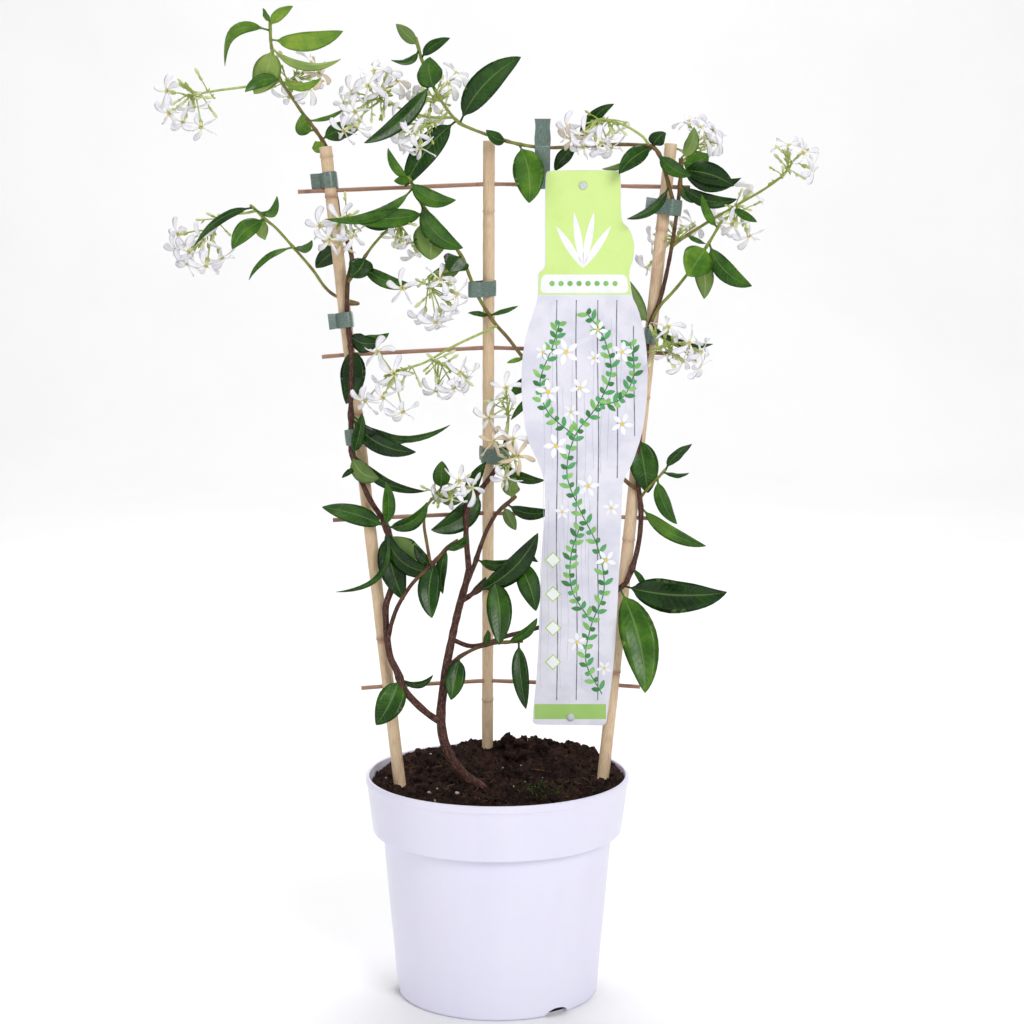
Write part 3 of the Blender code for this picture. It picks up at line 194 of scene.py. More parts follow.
# Leaves of each stem: base and tip pixels, full width in pixels, depth of the tip in
# millimetres, roll in degrees (0 shows the upper face, 180 the underside), sideways bend in pixels.
LEAVES = {
    "shoot_top_left": [
        (270, 25, 293, 6, 12, -4, 20, 3), (270, 24, 263, 8, 8, 6, -40, 0),
        (270, 30, 225, 66, 16, -12, -50, -22), (272, 40, 343, 31, 20, -14, 15, -6),
        (272, 46, 341, 59, 10, 14, 160, -13), (271, 48, 254, 94, 28, 16, 180, 4),
        (281, 80, 245, 92, 14, 2, -25, -6), (281, 78, 321, 78, 10, 2, 30, -8),
        (316, 131, 304, 112, 16, 12, 20, 10), (323, 140, 312, 148, 13, 39, 10, 3),
        (323, 141, 358, 130, 20, 52, 20, 5), (309, 121, 345, 108, 6, 26, 40, -3),
    ],
    "shoot_upper_left": [
        (252, 207, 277, 196, 11, -22, 40, -13), (254, 208, 194, 246, 11, -30, -35, -9),
        (265, 219, 232, 249, 20, -24, 10, -5), (264, 218, 265, 240, 14, 4, 180, -3),
        (292, 246, 249, 280, 9, -14, 40, -6), (294, 248, 312, 240, 10, -12, 30, -5),
    ],
    "shoot_inner_left": [
        (361, 262, 414, 285, 15, -6, 10, -7), (366, 255, 350, 277, 26, -2, 10, 3),
        (398, 216, 382, 206, 9, 2, 30, 3), (392, 225, 361, 223, 8, 2, 20, 3),
    ],
    "stem_left": [
        (349, 247, 316, 268, 20, 42, -10, -4), (350, 345, 346, 404, 26, 7, 5, 5),
        (349, 332, 379, 342, 20, -2, 15, -6), (350.5, 337, 389, 333, 15, -4, 30, -5),
        (352, 454, 362, 413, 14, -16, 10, -2), (351.3, 417, 416, 452, 20, -14, -8, -10),
        (351, 419, 419, 436, 15, 6, 25, -10), (351, 412, 450, 425, 10, -8, 40, -20),
        (353, 456, 379, 478, 20, -6, 180, -7), (352, 450, 426, 491, 13, 0, 20, -12),
        (355, 466, 342, 478, 6, -4, 20, 0),
    ],
    "branch_left": [
        (385, 527, 386, 482, 14, -24, 10, -3), (386, 525, 427, 502, 18, -14, 20, -9),
        (386, 527, 322, 507, 21, -16, 5, -3), (386, 524, 336, 592, 7, -16, 30, 26),
        (387, 530, 433, 562, 34, -6, 180, -10), (387, 532, 404, 600, 28, -6, 0, -4),
        (385, 525, 443, 572, 20, -12, 15, -18), (399, 676, 376, 725, 30, -22, 0, 3),
        (400, 679, 433, 675, 9, -20, 20, -8),
    ],
    "branch_centre_left": [
        (436, 560, 432, 618, 24, -28, 5, -5), (447, 548, 443, 594, 13, -18, 20, -4),
        (446, 550, 467, 535, 13, -26, 30, -3), (430, 566, 414, 545, 12, -42, 30, 2),
    ],
    "shoot_upright": [
        (441, 491, 442, 461, 18, 6, 5, 0), (439, 493, 461, 502, 14, 22, 180, -2),
    ],
    "fork_left": [
        (481, 490, 431, 530, 25, 6, 5, 10), (467, 512, 486, 462, 15, 36, 20, 5),
        (499, 465, 545, 480, 12, 24, 10, -5),
    ],
    "fork_right": [
        (506, 505, 552, 510, 14, 26, 10, -6), (503, 508, 516, 530, 12, 30, 180, 0),
        (512, 500, 516, 478, 20, 26, 160, 4), (476, 560, 516, 557, 13, 4, 15, -7),
    ],
    "branch_side": [
        (474, 593, 538, 533, 25, -28, 10, -9), (468, 597, 486, 577, 10, -4, 30, -2),
        (495, 576, 499, 645, 27, -30, 0, 3), (517, 558, 536, 611, 24, -24, 5, 3),
        (526, 549, 538, 562, 9, -18, 30, 0),
    ],
    "branch_low_right": [
        (459, 657, 451, 700, 21, -24, 5, 0), (486, 646, 488, 630, 9, -18, 30, 0),
        (519, 641, 526, 709, 18, -24, 0, -2), (508, 642, 537, 618, 12, -20, 20, -4),
    ],
    "branch_to_right": [
        (622, 586, 727, 592, 38, -16, 5, -6), (620, 588, 645, 693, 38, -18, 0, 7),
    ],
    "stem_right": [
        (640, 437, 648, 493, 30, 10, 0, 0), (632, 568, 651, 590, 9, 2, 40, 0),
        (650, 325, 621, 272, 22, 24, 175, 5), (650.5, 322, 713, 344, 10, 10, 30, -10),
        (681, 160, 694, 127, 15, 24, 165, -4), (681, 161, 708, 154, 24, 30, 10, -5),
        (681, 165, 741, 178, 15, 8, 15, -13), (680.5, 172, 734, 186, 24, 6, 5, 5),
        (679.5, 185, 737, 199, 15, 26, 10, -9), (680.5, 186, 693, 203, 10, 30, 15, 0),
        (640.3, 505, 706, 546, 16, 6, 20, -7),
    ],
    "shoot_right_low": [
        (665, 470, 692, 444, 12, -8, 20, 3), (662, 473, 689, 473, 8, -6, 40, -2),
        (657, 479, 677, 524, 16, -8, 10, -4),
    ],
    "shoot_right_upper": [
        (706, 247, 687, 276, 34, -12, 0, 0), (700, 256, 704, 299, 20, 16, 175, 3),
        (708, 244, 752, 286, 20, -6, 5, -8), (719, 226, 702, 195, 10, 4, 20, 4),
    ],
    "shoot_right_flowers": [
        (733, 208, 757, 222, 9, -6, 20, 0), (686, 236, 706, 244, 6, 22, 30, 0),
    ],
    "stem_middle": [
        (409, 178, 388, 148, 10, -4, 15, 5), (410, 181, 394, 181, 9, -4, 10, 0),
        (411, 181, 456, 200, 18, -12, -8, -9), (413, 187, 325, 219, 12, -26, 15, 14),
        (427, 212, 347, 219, 20, -20, 0, 3), (421, 202, 463, 248, 22, -8, 10, -10),
        (430, 216, 431, 260, 36, 2, 180, 0), (461, 256, 449, 272, 28, 2, 10, 0),
        (463, 260, 427, 277, 16, 22, 180, 4), (489, 314, 468, 313, 6, 14, 30, 0),
        (491, 316, 518, 306, 6, 14, 30, 0), (523, 357.5, 507, 363, 5, 14, 20, 0),
        (540, 378, 511, 396, 13, 20, 10, -3), (548, 388, 511, 420, 9, 22, 10, -3),
    ],
    "stem_top": [
        (418, 46, 396, 24, 13, -4, 170, 0), (421, 56, 450, 38, 12, -16, 10, 3),
        (419, 50, 391, 60, 9, -14, 30, 8), (434, 88, 430, 57, 27, -16, 15, 3),
        (431, 82, 364, 143, 18, -20, -10, 8), (459, 122, 521, 57, 28, -14, 0, 8),
        (457, 121, 405, 187, 26, 8, 0, -6), (508, 141, 486, 130, 13, 6, 15, 3),
        (519, 144, 529, 203, 32, 6, 0, 5), (577, 147, 555, 171, 14, 26, 10, -3),
        (582, 146.5, 614, 104, 14, 10, 0, 8), (653, 147, 619, 174, 19, -2, 0, -4),
        (652, 147, 602, 169, 8, 16, 165, 6), (654, 148, 666, 133, 17, 6, 10, 3),
        (659, 155, 691, 176, 16, 2, 0, -4), (669, 187, 627, 219, 10, 0, 15, 8),
    ],
}

# Flower trusses: parent stem, stalk route, then each flower as pixels and depth.
TRUSSES = {
    "flowers_far_left": ("shoot_top_left", [(279, 77, 13), (262, 84, 20), (244, 87, 18), (214, 91, 14),
        (187, 96, 10)], [
        (167, 91, 4), (169, 113, -4), (183, 122, 8), (201, 127, 0), (194, 107, 14),
    ]),
    "flowers_top_left": ("shoot_top_left", [(284, 85, 15), (289, 82, 26), (297, 80, 30)], [
        (309, 88, 22), (289, 97, 30), (312, 63, 32), (319, 73, 24), (272, 63, 36),
    ]),
    "flowers_upper_centre": ("stem_top", [(453, 117, 10), (430, 117, 16), (408, 111.5, 18),
        (390, 104, 18), (368, 97, 16)], [
        (374, 71, 12), (388, 71, 24), (397, 81, 20), (368, 86, 4), (352, 92, 10), (344, 103, 18),
        (355, 112, 6), (384, 90, 8), (344, 131, 10), (356, 127, 20),
    ]),
    "flowers_upper_right": ("stem_top", [(437, 93, 4), (434, 100, 16), (431, 104, 22)], [
        (448, 84, 16), (457, 73, 26), (415, 103, 18), (422, 88, 28), (441, 112, 24), (428, 118, 32),
    ]),
    "flowers_centre_drop": ("stem_top", [(449, 111.5, 9), (440, 120, 4), (428, 126, 0), (414, 126, -4)], [
        (394, 121, 4), (401, 143, 0), (414, 135, -12), (420, 148, -8), (398, 133, 10),
    ]),
    "flowers_top_bar": ("stem_top", [(648, 145.5, 15), (642, 136, 10), (624, 125, 8), (604, 119, 8),
        (594, 121, 8)], [
        (586, 134, -2), (568, 129, 4), (571, 139, 6), (583, 147, 0), (601, 143, -2), (615, 133, 14),
        (611, 148, 8),
    ]),
    "flowers_top_right": ("stem_right", [(681, 164, 22), (690, 154, 40), (696, 144, 42)], [
        (700, 127, 38), (704, 138, 34), (712, 130, 44), (688, 121, 46), (717, 142, 42),
    ]),
    "flowers_far_right": ("shoot_right_flowers", [(783, 176, 5), (790, 166, 3), (795, 159, 2)], [
        (803, 153, -4), (812, 168, 4), (789, 145, 6),
    ]),
    "flowers_right": ("shoot_right_flowers", [(737, 205, 11), (740, 210, 18), (741, 215, 22)], [
        (751, 192, 28), (732, 224, 14), (749, 236, 18), (719, 224, 28),
    ]),
    "flowers_behind_right": ("stem_right", [(672, 246, 21), (677, 241, 32), (675, 238, 46)], [
        (693, 224, 48), (682, 226, 40), (652, 243, 52), (647, 268, 54),
    ]),
    "flowers_left_cane": ("stem_left", [(340, 222, 38), (347, 217, 34), (350, 214, 22), (346, 218, 8),
        (338, 225, -3)], [
        (320, 226, -6), (329, 240, -12), (341, 219, -14), (352, 236, -8), (340, 244, -4),
    ]),
    "flowers_low_left": ("shoot_upper_left", [(257, 211, -10), (246, 213, -2), (230, 215, 0),
        (214, 224, 0), (204, 234, -2)], [
        (178, 234, -6), (176, 250, 0), (189, 252, -10), (203, 240, -12), (187, 264, -2), (206, 266, -8),
        (222, 258, 2),
    ]),
    "flowers_inner_left": ("shoot_inner_left", [(398, 218, 7), (401, 226, 14), (404, 230, 18)], [
        (397, 237, 14), (408, 243, 20), (417, 252, 26),
    ]),
    "flowers_centre": ("stem_middle", [(466, 267, 22), (452, 270, 12), (436, 273, 8), (429, 280, 6),
        (432, 292, 4)], [
        (402, 288, -18), (440, 279, 0), (457, 294, 0), (454, 308, 6), (436, 322, -4), (424, 317, 8),
        (443, 318, 10),
    ]),
    "flowers_middle_left": ("stem_middle", [(498, 327, 25), (484, 332, 16), (452, 347, 6),
        (426, 362, 0), (404, 369, -4), (392, 372, -8)], [
        (377, 352, -14), (394, 374, -20), (365, 401, -12), (403, 412, -16), (383, 398, -24),
        (389, 386, 0),
    ]),
    "flowers_middle": ("flowers_middle_left", [(432, 358.5, 2), (442, 364, 4), (450, 370, 4)], [
        (460, 373, -4), (468, 378, 8), (454, 388, 2), (436, 391, 6),
    ]),
    "flowers_cane_star": ("fork_left", [(506, 441, 34), (508, 425, 28), (508, 408, 24), (507, 398, 20)], [
        (506, 388, 8), (489, 418, 14),
    ]),
    "flowers_label_left": ("fork_left", [(495, 470, 36), (504, 467, 27), (513, 457, 22),
        (513, 447, 20)], [
        (493, 441, 12), (513, 439, 8), (518, 456, 4), (506, 478, 12),
    ]),
    "flowers_low_centre": ("shoot_upright", [(434, 497, 14), (446, 492, 10), (456, 487, 8)], [
        (436, 482, 22), (459, 481, 0), (472, 488, 2), (451, 499, 6),
    ]),
    "flowers_right_middle": ("stem_right", [(647, 353, 15), (662, 346, 6), (676, 341, 3)], [
        (668, 327, 0), (689, 343, -6), (701, 352, 0), (683, 361, 4), (700, 366, 8), (672, 352, 12),
    ]),
}

# Ties of flat tape: cane, pixel row, stems inside the loop, tail direction in degrees
# (0 is right, 90 is the back) and tail length in millimetres.
TIES = {
    "tie_left_top": ("cane_left", 180, ["stem_left"], 170, 8),
    "tie_left_upper": ("cane_left", 320, ["stem_left"], 190, 7),
    "tie_left_middle": ("cane_left", 436, ["stem_left"], 100, 7),
    "tie_middle_upper": ("cane_middle", 288, ["stem_middle"], 80, 7),
    "tie_middle_lower": ("cane_middle", 455, ["fork_left"], 120, 7),
    "tie_right_upper": ("cane_right", 207, ["stem_right", "stem_top"], 185, 8),
    "tie_right_middle": ("cane_right", 336, ["stem_right"], 60, 7),
}
# The tie on the top crossbar: where it goes round the bar and round the stem, and its tail.
TOP_TIE_BAR = (543, 184.5, 30)
TOP_TIE_STEM = (543, 147.6, 23)
TOP_TIE_TAIL = 0.017

# The card: middle of its top and foot, and its left and right edges from top to foot in pixels.
LABEL_TOP = (583, 170, 14.0)
LABEL_FOOT = (570, 725, 0.0)
LABEL_LEFT = [
    (549, 170), (545, 174), (545, 268), (538, 272), (538, 297), (534, 310), (526, 335), (521.6, 362),
    (521.6, 400), (526.5, 438), (540, 466), (545, 483), (545, 516), (541.5, 549), (538, 660),
    (532, 724.5),
]
LABEL_RIGHT = [
    (606, 725.5), (614.4, 660), (618.6, 582), (622, 499.5), (622.7, 481), (632.7, 463), (642.6, 433),
    (647, 400), (648, 365), (645, 335), (638, 308), (632, 297), (629, 272), (634, 258), (635, 243),
    (630, 229), (621, 221), (621, 174), (617, 170),
]
PEGS = {"label_peg_top": (583.0, 185.5), "label_peg_low": (570.6, 717.0)}


def unit(vectors):
    """Vectors divided by their own lengths."""
    return vectors / np.maximum(np.linalg.norm(vectors, axis=-1, keepdims=True), 1e-12)


def place(px, py, depth):
    """Points seen at pixels, depth millimetres behind the pot's centre: the eye plus its line of
    sight through each pixel, drawn out until it reaches that depth. Takes whole arrays."""
    px, py, depth = np.broadcast_arrays(*(np.asarray(value, float) for value in (px, py, depth)))
    right = (px - VIEW_MIDDLE) / VIEW_FOCAL
    up = (VIEW_MIDDLE - py) / VIEW_FOCAL
    cosine = math.cos(VIEW_PITCH)
    sine = math.sin(VIEW_PITCH)
    way = np.stack((right, cosine + up * sine, up * cosine - sine), -1)
    return VIEW_EYE + way * ((depth * MM - VIEW_EYE[1]) / way[..., 1])[..., None]


def row_of(points):
    """Pixel row at which each point is seen."""
    offset = points - VIEW_EYE
    cosine = math.cos(VIEW_PITCH)
    sine = math.sin(VIEW_PITCH)
    forward = offset[..., 1] * cosine - offset[..., 2] * sine
    up = offset[..., 1] * sine + offset[..., 2] * cosine
    return VIEW_MIDDLE - VIEW_FOCAL * up / forward


def smooth_route(points, steps=10):
    """A Catmull-Rom curve: between each two points runs the cubic whose slope at a point is
    half the chord between its two neighbours."""
    points = np.asarray(points, float)
    ends = np.vstack((2 * points[0] - points[1], points, 2 * points[-1] - points[-2]))
    a, b, c, d = (ends[first:len(ends) - 3 + first, None] for first in range(4))
    t = (np.arange(steps) / steps)[None, :, None]
    made = 0.5 * (2 * b + (c - a) * t + (2 * a - 5 * b + 4 * c - d) * t**2
                  + (3 * b - a - 3 * c + d) * t**3)
    return np.vstack((made.reshape(-1, 3), points[-1:]))


def lengths_along(path):
    """Distance along a path from its start to each of its points."""
    return np.concatenate(([0.0], np.cumsum(np.linalg.norm(np.diff(path, axis=0), axis=1))))


def evenly(path, step):
    """The path's points at equal steps of its length, each near the given step."""
    run = lengths_along(path)
    at = np.linspace(0, run[-1], max(3, int(round(run[-1] / step)) + 1))
    return np.stack([np.interp(at, run, path[:, axis]) for axis in range(3)], -1)


def nearest(path, points):
    """For each point, the index of the path's nearest point."""
    gaps = np.linalg.norm(path[None] - np.atleast_2d(points)[:, None], axis=-1)
    return gaps.argmin(axis=1)


def at_row(foot, top, row):
    """Point of a straight line seen at a pixel row: the row falls steadily along a fine division."""
    line = foot + (top - foot) * np.linspace(0, 1, 4001)[:, None]
    return line[np.abs(row_of(line) - row).argmin()]


def ripple(points, size, seed=0.0):
    """An uneven smooth field between about -1 and 1: products of sines of slanted coordinates,
    with roughly one wave in each length `size`."""
    x, y, z = np.moveaxis(np.asarray(points) * (math.tau / size), -1, 0)
    one = np.sin(0.71 * x + 0.43 * y + 0.22 * z + seed) * np.cos(0.57 * y - 0.77 * z + 2.1 * seed)
    two = np.sin(0.93 * z + 0.61 * x - 1.9 * seed) * np.cos(0.87 * y + 0.37 * x + seed)
    return (one + two) / 1.3


def each(value):
    """One number for each copy of a shape, ready to meet its rows and columns."""
    return np.asarray(value, float)[:, None, None]


def grid_uv(across, along):
    """UV of a grid: a number for each column, and one for each row."""
    return np.stack(np.broadcast_arrays(across[None, None], np.atleast_2d(along)[..., None]), -1)


def closed_sections(centre, side, face, out, lift):
    """Points beside each row's centre: `out` along its side and `lift` along its face. The
    first and the last row draw together to a point."""
    out, lift = out.copy(), lift.copy()
    out[:, [0, -1]] = 0
    lift[:, [0, -1]] = 0
    return centre[:, :, None] + side[:, :, None] * out[..., None] + face[:, :, None] * lift[..., None]


def turned_about(way, vectors, angle):
    """Vectors square to the unit vectors `way`, turned about them by an angle."""
    return vectors * np.cos(angle) + np.cross(way, vectors) * np.sin(angle)


# Points nearer to each other than this, in metres, become one.
SEAM = 2e-6


class Shape:
    """Grids of points gathered for one mesh, with a UV and named numbers at each point."""

    def __init__(self):
        self.points = []
        self.faces = []
        self.uvs = []
        self.marks = {}
        self.count = 0

    def grids(self, points, uv=None, **marks):
        """Adds grids of points, an array (copies, rows, columns, 3). Neighbours on a grid make
        quads; a ring repeats its first column at the end, and the seam is merged later."""
        points = np.asarray(points, float)
        points = points.reshape((-1,) + points.shape[-3:])
        copies, rows, columns, _axes = points.shape
        low = (np.arange(rows - 1)[:, None] * columns + np.arange(columns - 1)[None]).ravel()
        quads = np.stack((low, low + 1, low + columns + 1, low + columns), -1)
        every = np.arange(copies)[:, None, None] * (rows * columns) + quads[None]
        self.faces.append(every.reshape(-1, 4) + self.count)
        self.points.append(points.reshape(-1, 3))
        shape = (copies, rows, columns)
        if uv is None:
            uv = grid_uv(np.linspace(0, 1, columns), np.linspace(0, 1, rows))
        self.uvs.append(np.broadcast_to(uv, shape + (2,)).reshape(-1, 2))
        for name, value in marks.items():
            value = np.broadcast_to(np.asarray(value, float), shape).ravel()
            self.marks.setdefault(name, []).append((self.count, value))
        self.count += len(self.points[-1])
        return self

    def piece(self, name, material, slot, *nodes, sharp=None):
        """Makes the mesh, merges seams and poles, turns faces outwards and hands it to its body."""
        points = np.vstack(self.points)
        faces = np.vstack(self.faces)
        mesh = bpy.data.meshes.new(name)
        mesh.from_pydata(points.tolist(), [], faces.tolist())
        layer = mesh.uv_layers.new(name="UVMap")
        layer.data.foreach_set("uv", np.vstack(self.uvs)[faces.ravel()].astype(np.float32).ravel())
        for mark, parts in self.marks.items():
            values = np.zeros(self.count, np.float32)
            for first, part in parts:
                values[first:first + len(part)] = part
            mesh.attributes.new(mark, "FLOAT", "POINT").data.foreach_set("value", values)
        close_seams(mesh, SEAM)
        return show(name, mesh, material, nodes, sharp)


def close_seams(mesh, merge):
    """Merges points that meet, drops faces that closed to a line, and points all faces outwards."""
    work = bmesh.new()
    work.from_mesh(mesh)
    bmesh.ops.remove_doubles(work, verts=work.verts, dist=merge)
    bmesh.ops.dissolve_degenerate(work, edges=work.edges, dist=merge / 4)
    bmesh.ops.recalc_face_normals(work, faces=work.faces)
    work.to_mesh(mesh)
    work.free()


def show(name, mesh, material, nodes, sharp=None):
    """Puts a finished mesh into the scene on the root body, in place of its CAD nodes."""
    mesh.materials.append(material)
    mesh.shade_smooth()
    if sharp:
        mesh.set_sharp_from_angle(angle=math.radians(sharp))
    made = bpy.data.objects.new(name, mesh)
    bpy.context.scene.collection.objects.link(made)
    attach(made, "root")
    if nodes:
        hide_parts(*nodes)
    return made


def ring_turns(sides):
    """Angles once round, with the first one again at the end."""
    return np.linspace(0, math.tau, sides + 1)


def tubes(paths, radii, sides, guide=None):
    """Round tubes along many paths at once. Each row's ring is its centre plus its radius in
    the two directions square to the path; a row of no radius closes each end."""
    paths = np.asarray(paths, float)
    paths = paths.reshape((-1,) + paths.shape[-2:])
    radii = np.broadcast_to(np.asarray(radii, float), paths.shape[:2])
    along = unit(np.gradient(paths, axis=1))
    if guide is None:
        chord = np.abs(unit(paths[:, -1] - paths[:, 0]))
        guide = np.eye(3)[chord.argmin(axis=1)][:, None]
    across = unit(np.cross(along, guide))
    beside = np.cross(across, along)
    rows = [0, *range(paths.shape[1]), paths.shape[1] - 1]
    paths, across, beside, radii = (part[:, rows] for part in (paths, across, beside, radii))
    radii[:, [0, -1]] = 0
    turn = ring_turns(sides)
    ring = across[..., None, :] * np.cos(turn)[:, None] + beside[..., None, :] * np.sin(turn)[:, None]
    return paths[..., None, :] + ring * radii[..., None, None]


def tube_uv(paths, sides):
    """UV of tubes: once round across, and centimetres along."""
    paths = np.asarray(paths, float)
    paths = paths.reshape((-1,) + paths.shape[-2:])
    step = np.linalg.norm(np.diff(paths, axis=1), axis=-1)
    run = np.concatenate((np.zeros((len(paths), 1)), np.cumsum(step, axis=1)), 1) * 100
    run = np.concatenate((run[:, :1], run, run[:, -1:]), 1)
    return grid_uv(np.linspace(0, 1, sides + 1), run)


def turned(profile, sides, centre=(0.0, 0.0, 0.0)):
    """A turned surface: each profile point, radius and height, swept round the vertical axis."""
    profile = np.asarray(profile, float)
    turn = ring_turns(sides)
    radius = profile[:, 0, None]
    height = np.broadcast_to(profile[:, 1, None], (len(profile), sides + 1))
    points = np.stack((radius * np.cos(turn), radius * np.sin(turn), height), -1)
    return points + np.asarray(centre)


def arc(centre, radius, first, last, steps):
    """Points of a circle's arc between two angles in degrees."""
    turn = np.radians(np.linspace(first, last, steps))
    return [(centre[0] + radius * math.cos(a), centre[1] + radius * math.sin(a)) for a in turn]


def colour(red, green, blue):
    """A screen colour of 0 to 255 as linear red, green, blue and alpha."""
    values = np.array((red, green, blue)) / 255
    linear = np.where(values <= 0.04045, values / 12.92, ((values + 0.055) / 1.055) ** 2.4)
    return (*(float(value) for value in linear), 1.0)


class Finish:
    """A material and short ways to join the nodes that colour it."""

    def __init__(self, name, **settings):
        self.material = bpy.data.materials.new(name)
        self.material.use_nodes = True
        self.tree = self.material.node_tree
        self.shader = self.tree.nodes["Principled BSDF"]
        for socket, value in settings.items():
            self.shader.inputs[socket.replace("_", " ")].default_value = value

    def node(self, kind, **settings):
        """A new node with its settings."""
        made = self.tree.nodes.new("ShaderNode" + kind)
        for name, value in settings.items():
            setattr(made, name, value)
        return made

    def feed(self, socket, value):
        """Joins another node's output to a socket, or writes a constant on it."""
        if isinstance(value, bpy.types.NodeSocket):
            self.tree.links.new(value, socket)
        else:
            socket.default_value = value

    def place(self):
        """Object coordinates, in metres."""
        return self.node("TexCoord").outputs["Object"]

    def uv(self):
        """The piece's own two numbers at each point: across or round it, and along it."""
        split = self.node("SeparateXYZ")
        self.feed(split.inputs[0], self.node("UVMap", uv_map="UVMap").outputs[0])
        return split.outputs[0], split.outputs[1]

    def stretched(self, across, along, wide, long):
        """The piece's two numbers, each multiplied by its own scale, as one vector."""
        made = self.node("CombineXYZ")
        self.feed(made.inputs[0], self.op("MULTIPLY", across, wide))
        self.feed(made.inputs[1], self.op("MULTIPLY", along, long))
        return made.outputs[0]

    def mark(self, name):
        """A named number that the mesh holds at each point."""
        return self.node("Attribute", attribute_name=name).outputs["Fac"]

    def scaled(self, vector, scale):
        """A vector multiplied by another one."""
        made = self.node("Mapping")
        self.feed(made.inputs["Vector"], vector)
        made.inputs["Scale"].default_value = scale
        return made.outputs[0]

    def noise(self, vector, scale, detail=3.0, roughness=0.55, twist=0.0):
        """Cloudy noise between 0 and 1."""
        made = self.node("TexNoise")
        self.feed(made.inputs["Vector"], vector)
        made.inputs["Scale"].default_value = scale
        made.inputs["Detail"].default_value = detail
        made.inputs["Roughness"].default_value = roughness
        made.inputs["Distortion"].default_value = twist
        return made.outputs[0]

    def cells(self, vector, scale):
        """Distance from the nearest of many scattered points."""
        made = self.node("TexVoronoi")
        self.feed(made.inputs["Vector"], vector)
        made.inputs["Scale"].default_value = scale
        return made.outputs["Distance"]

    def op(self, kind, one, other=0.0):
        """One step of arithmetic on two values."""
        made = self.node("Math", operation=kind)
        self.feed(made.inputs[0], one)
        self.feed(made.inputs[1], other)
        return made.outputs[0]

    def span(self, value, low, high, to_low=0.0, to_high=1.0):
        """A value's place between two limits, as a number between two others."""
        made = self.node("MapRange", clamp=True, interpolation_type="SMOOTHSTEP")
        for socket, number in zip(made.inputs, (value, low, high, to_low, to_high)):
            self.feed(socket, number)
        return made.outputs[0]

    def ramp(self, value, *stops):
        """A colour that runs through stops, each a place from 0 to 1 and a colour."""
        made = self.node("ValToRGB")
        self.feed(made.inputs[0], value)
        elements = made.color_ramp.elements
        while len(elements) < len(stops):
            elements.new(0.5)
        for element, (at, tint) in zip(elements, stops):
            element.position = at
            element.color = tint
        return made.outputs[0]

    def mix(self, share, one, other):
        """A share of the second colour laid over the first."""
        made = self.node("Mix", data_type="RGBA")
        for socket, value in zip((0, 6, 7), (share, one, other)):
            self.feed(made.inputs[socket], value)
        return made.outputs[2]

    def paint(self, value):
        """Sets the colour."""
        self.feed(self.shader.inputs["Base Color"], value)

    def rough(self, value):
        """Sets the roughness."""
        self.feed(self.shader.inputs["Roughness"], value)

    def bump(self, height, distance, strength):
        """Raises the surface by a height, and gives back the finished material."""
        made = self.node("Bump")
        made.inputs["Strength"].default_value = strength
        made.inputs["Distance"].default_value = distance
        self.feed(made.inputs["Height"], height)
        self.feed(self.shader.inputs["Normal"], made.outputs[0])
        return self.material


def leaf_finish():
    """Glossy leaf: tone runs from dark to fresh green, the midrib and side veins are paler, and
    the underside, where the UV's across value passes 1, is a pale matt green."""
    made = Finish("leaf", Roughness=0.3, Specular_IOR_Level=0.25, Coat_Weight=0.06,
                  Coat_Roughness=0.12)
    around, along = made.uv()
    from_middle = made.op("SUBTRACT", made.op("PINGPONG", around, 1.0), 0.5)
    across = made.op("MULTIPLY", made.op("ABSOLUTE", from_middle), 2.0)
    under = made.op("GREATER_THAN", around, 1.0)
    place_here = made.place()
    patchy = made.noise(place_here, 60, 4)
    fine = made.noise(place_here, 420, 3)
    tone = made.op("ADD", made.mark("tone"), made.span(patchy, 0.3, 0.7, -0.13, 0.13))
    body = made.ramp(tone, (0.0, colour(14, 38, 8)), (0.28, colour(28, 66, 12)),
                     (0.55, colour(62, 106, 24)), (0.8, colour(108, 148, 42)),
                     (1.0, colour(150, 174, 60)))
    midrib = made.span(across, 0.015, 0.085, 1.0, 0.0)
    slant = made.op("SUBTRACT", made.op("MULTIPLY", along, 15.0), made.op("MULTIPLY", across, 1.9))
    from_vein = made.op("ABSOLUTE", made.op("SUBTRACT", made.op("FRACT", slant), 0.5))
    vein = made.span(from_vein, 0.0, 0.085, 1.0, 0.0)
    vein = made.op("MULTIPLY", vein, made.span(across, 0.65, 0.98, 1.0, 0.0))
    lines = made.op("MAXIMUM", made.op("MULTIPLY", vein, 0.22), midrib)
    body = made.mix(made.op("MULTIPLY", lines, 0.42), body, colour(126, 158, 80))
    body = made.mix(made.span(fine, 0.62, 0.8, 0.0, 0.12), body, colour(146, 170, 84))
    back = made.ramp(tone, (0.0, colour(74, 100, 52)), (0.6, colour(122, 150, 72)),
                     (1.0, colour(165, 182, 92)))
    back = made.mix(made.op("MULTIPLY", lines, 0.5), back, colour(178, 192, 134))
    made.paint(made.mix(under, body, back))
    made.rough(made.op("ADD", made.span(fine, 0.3, 0.7, 0.20, 0.34), made.op("MULTIPLY", under, 0.26)))
    height = made.op("SUBTRACT", made.op("MULTIPLY", fine, 0.15), made.op("MULTIPLY", lines, 0.8))
    return made.bump(height, 0.00045, 0.7)


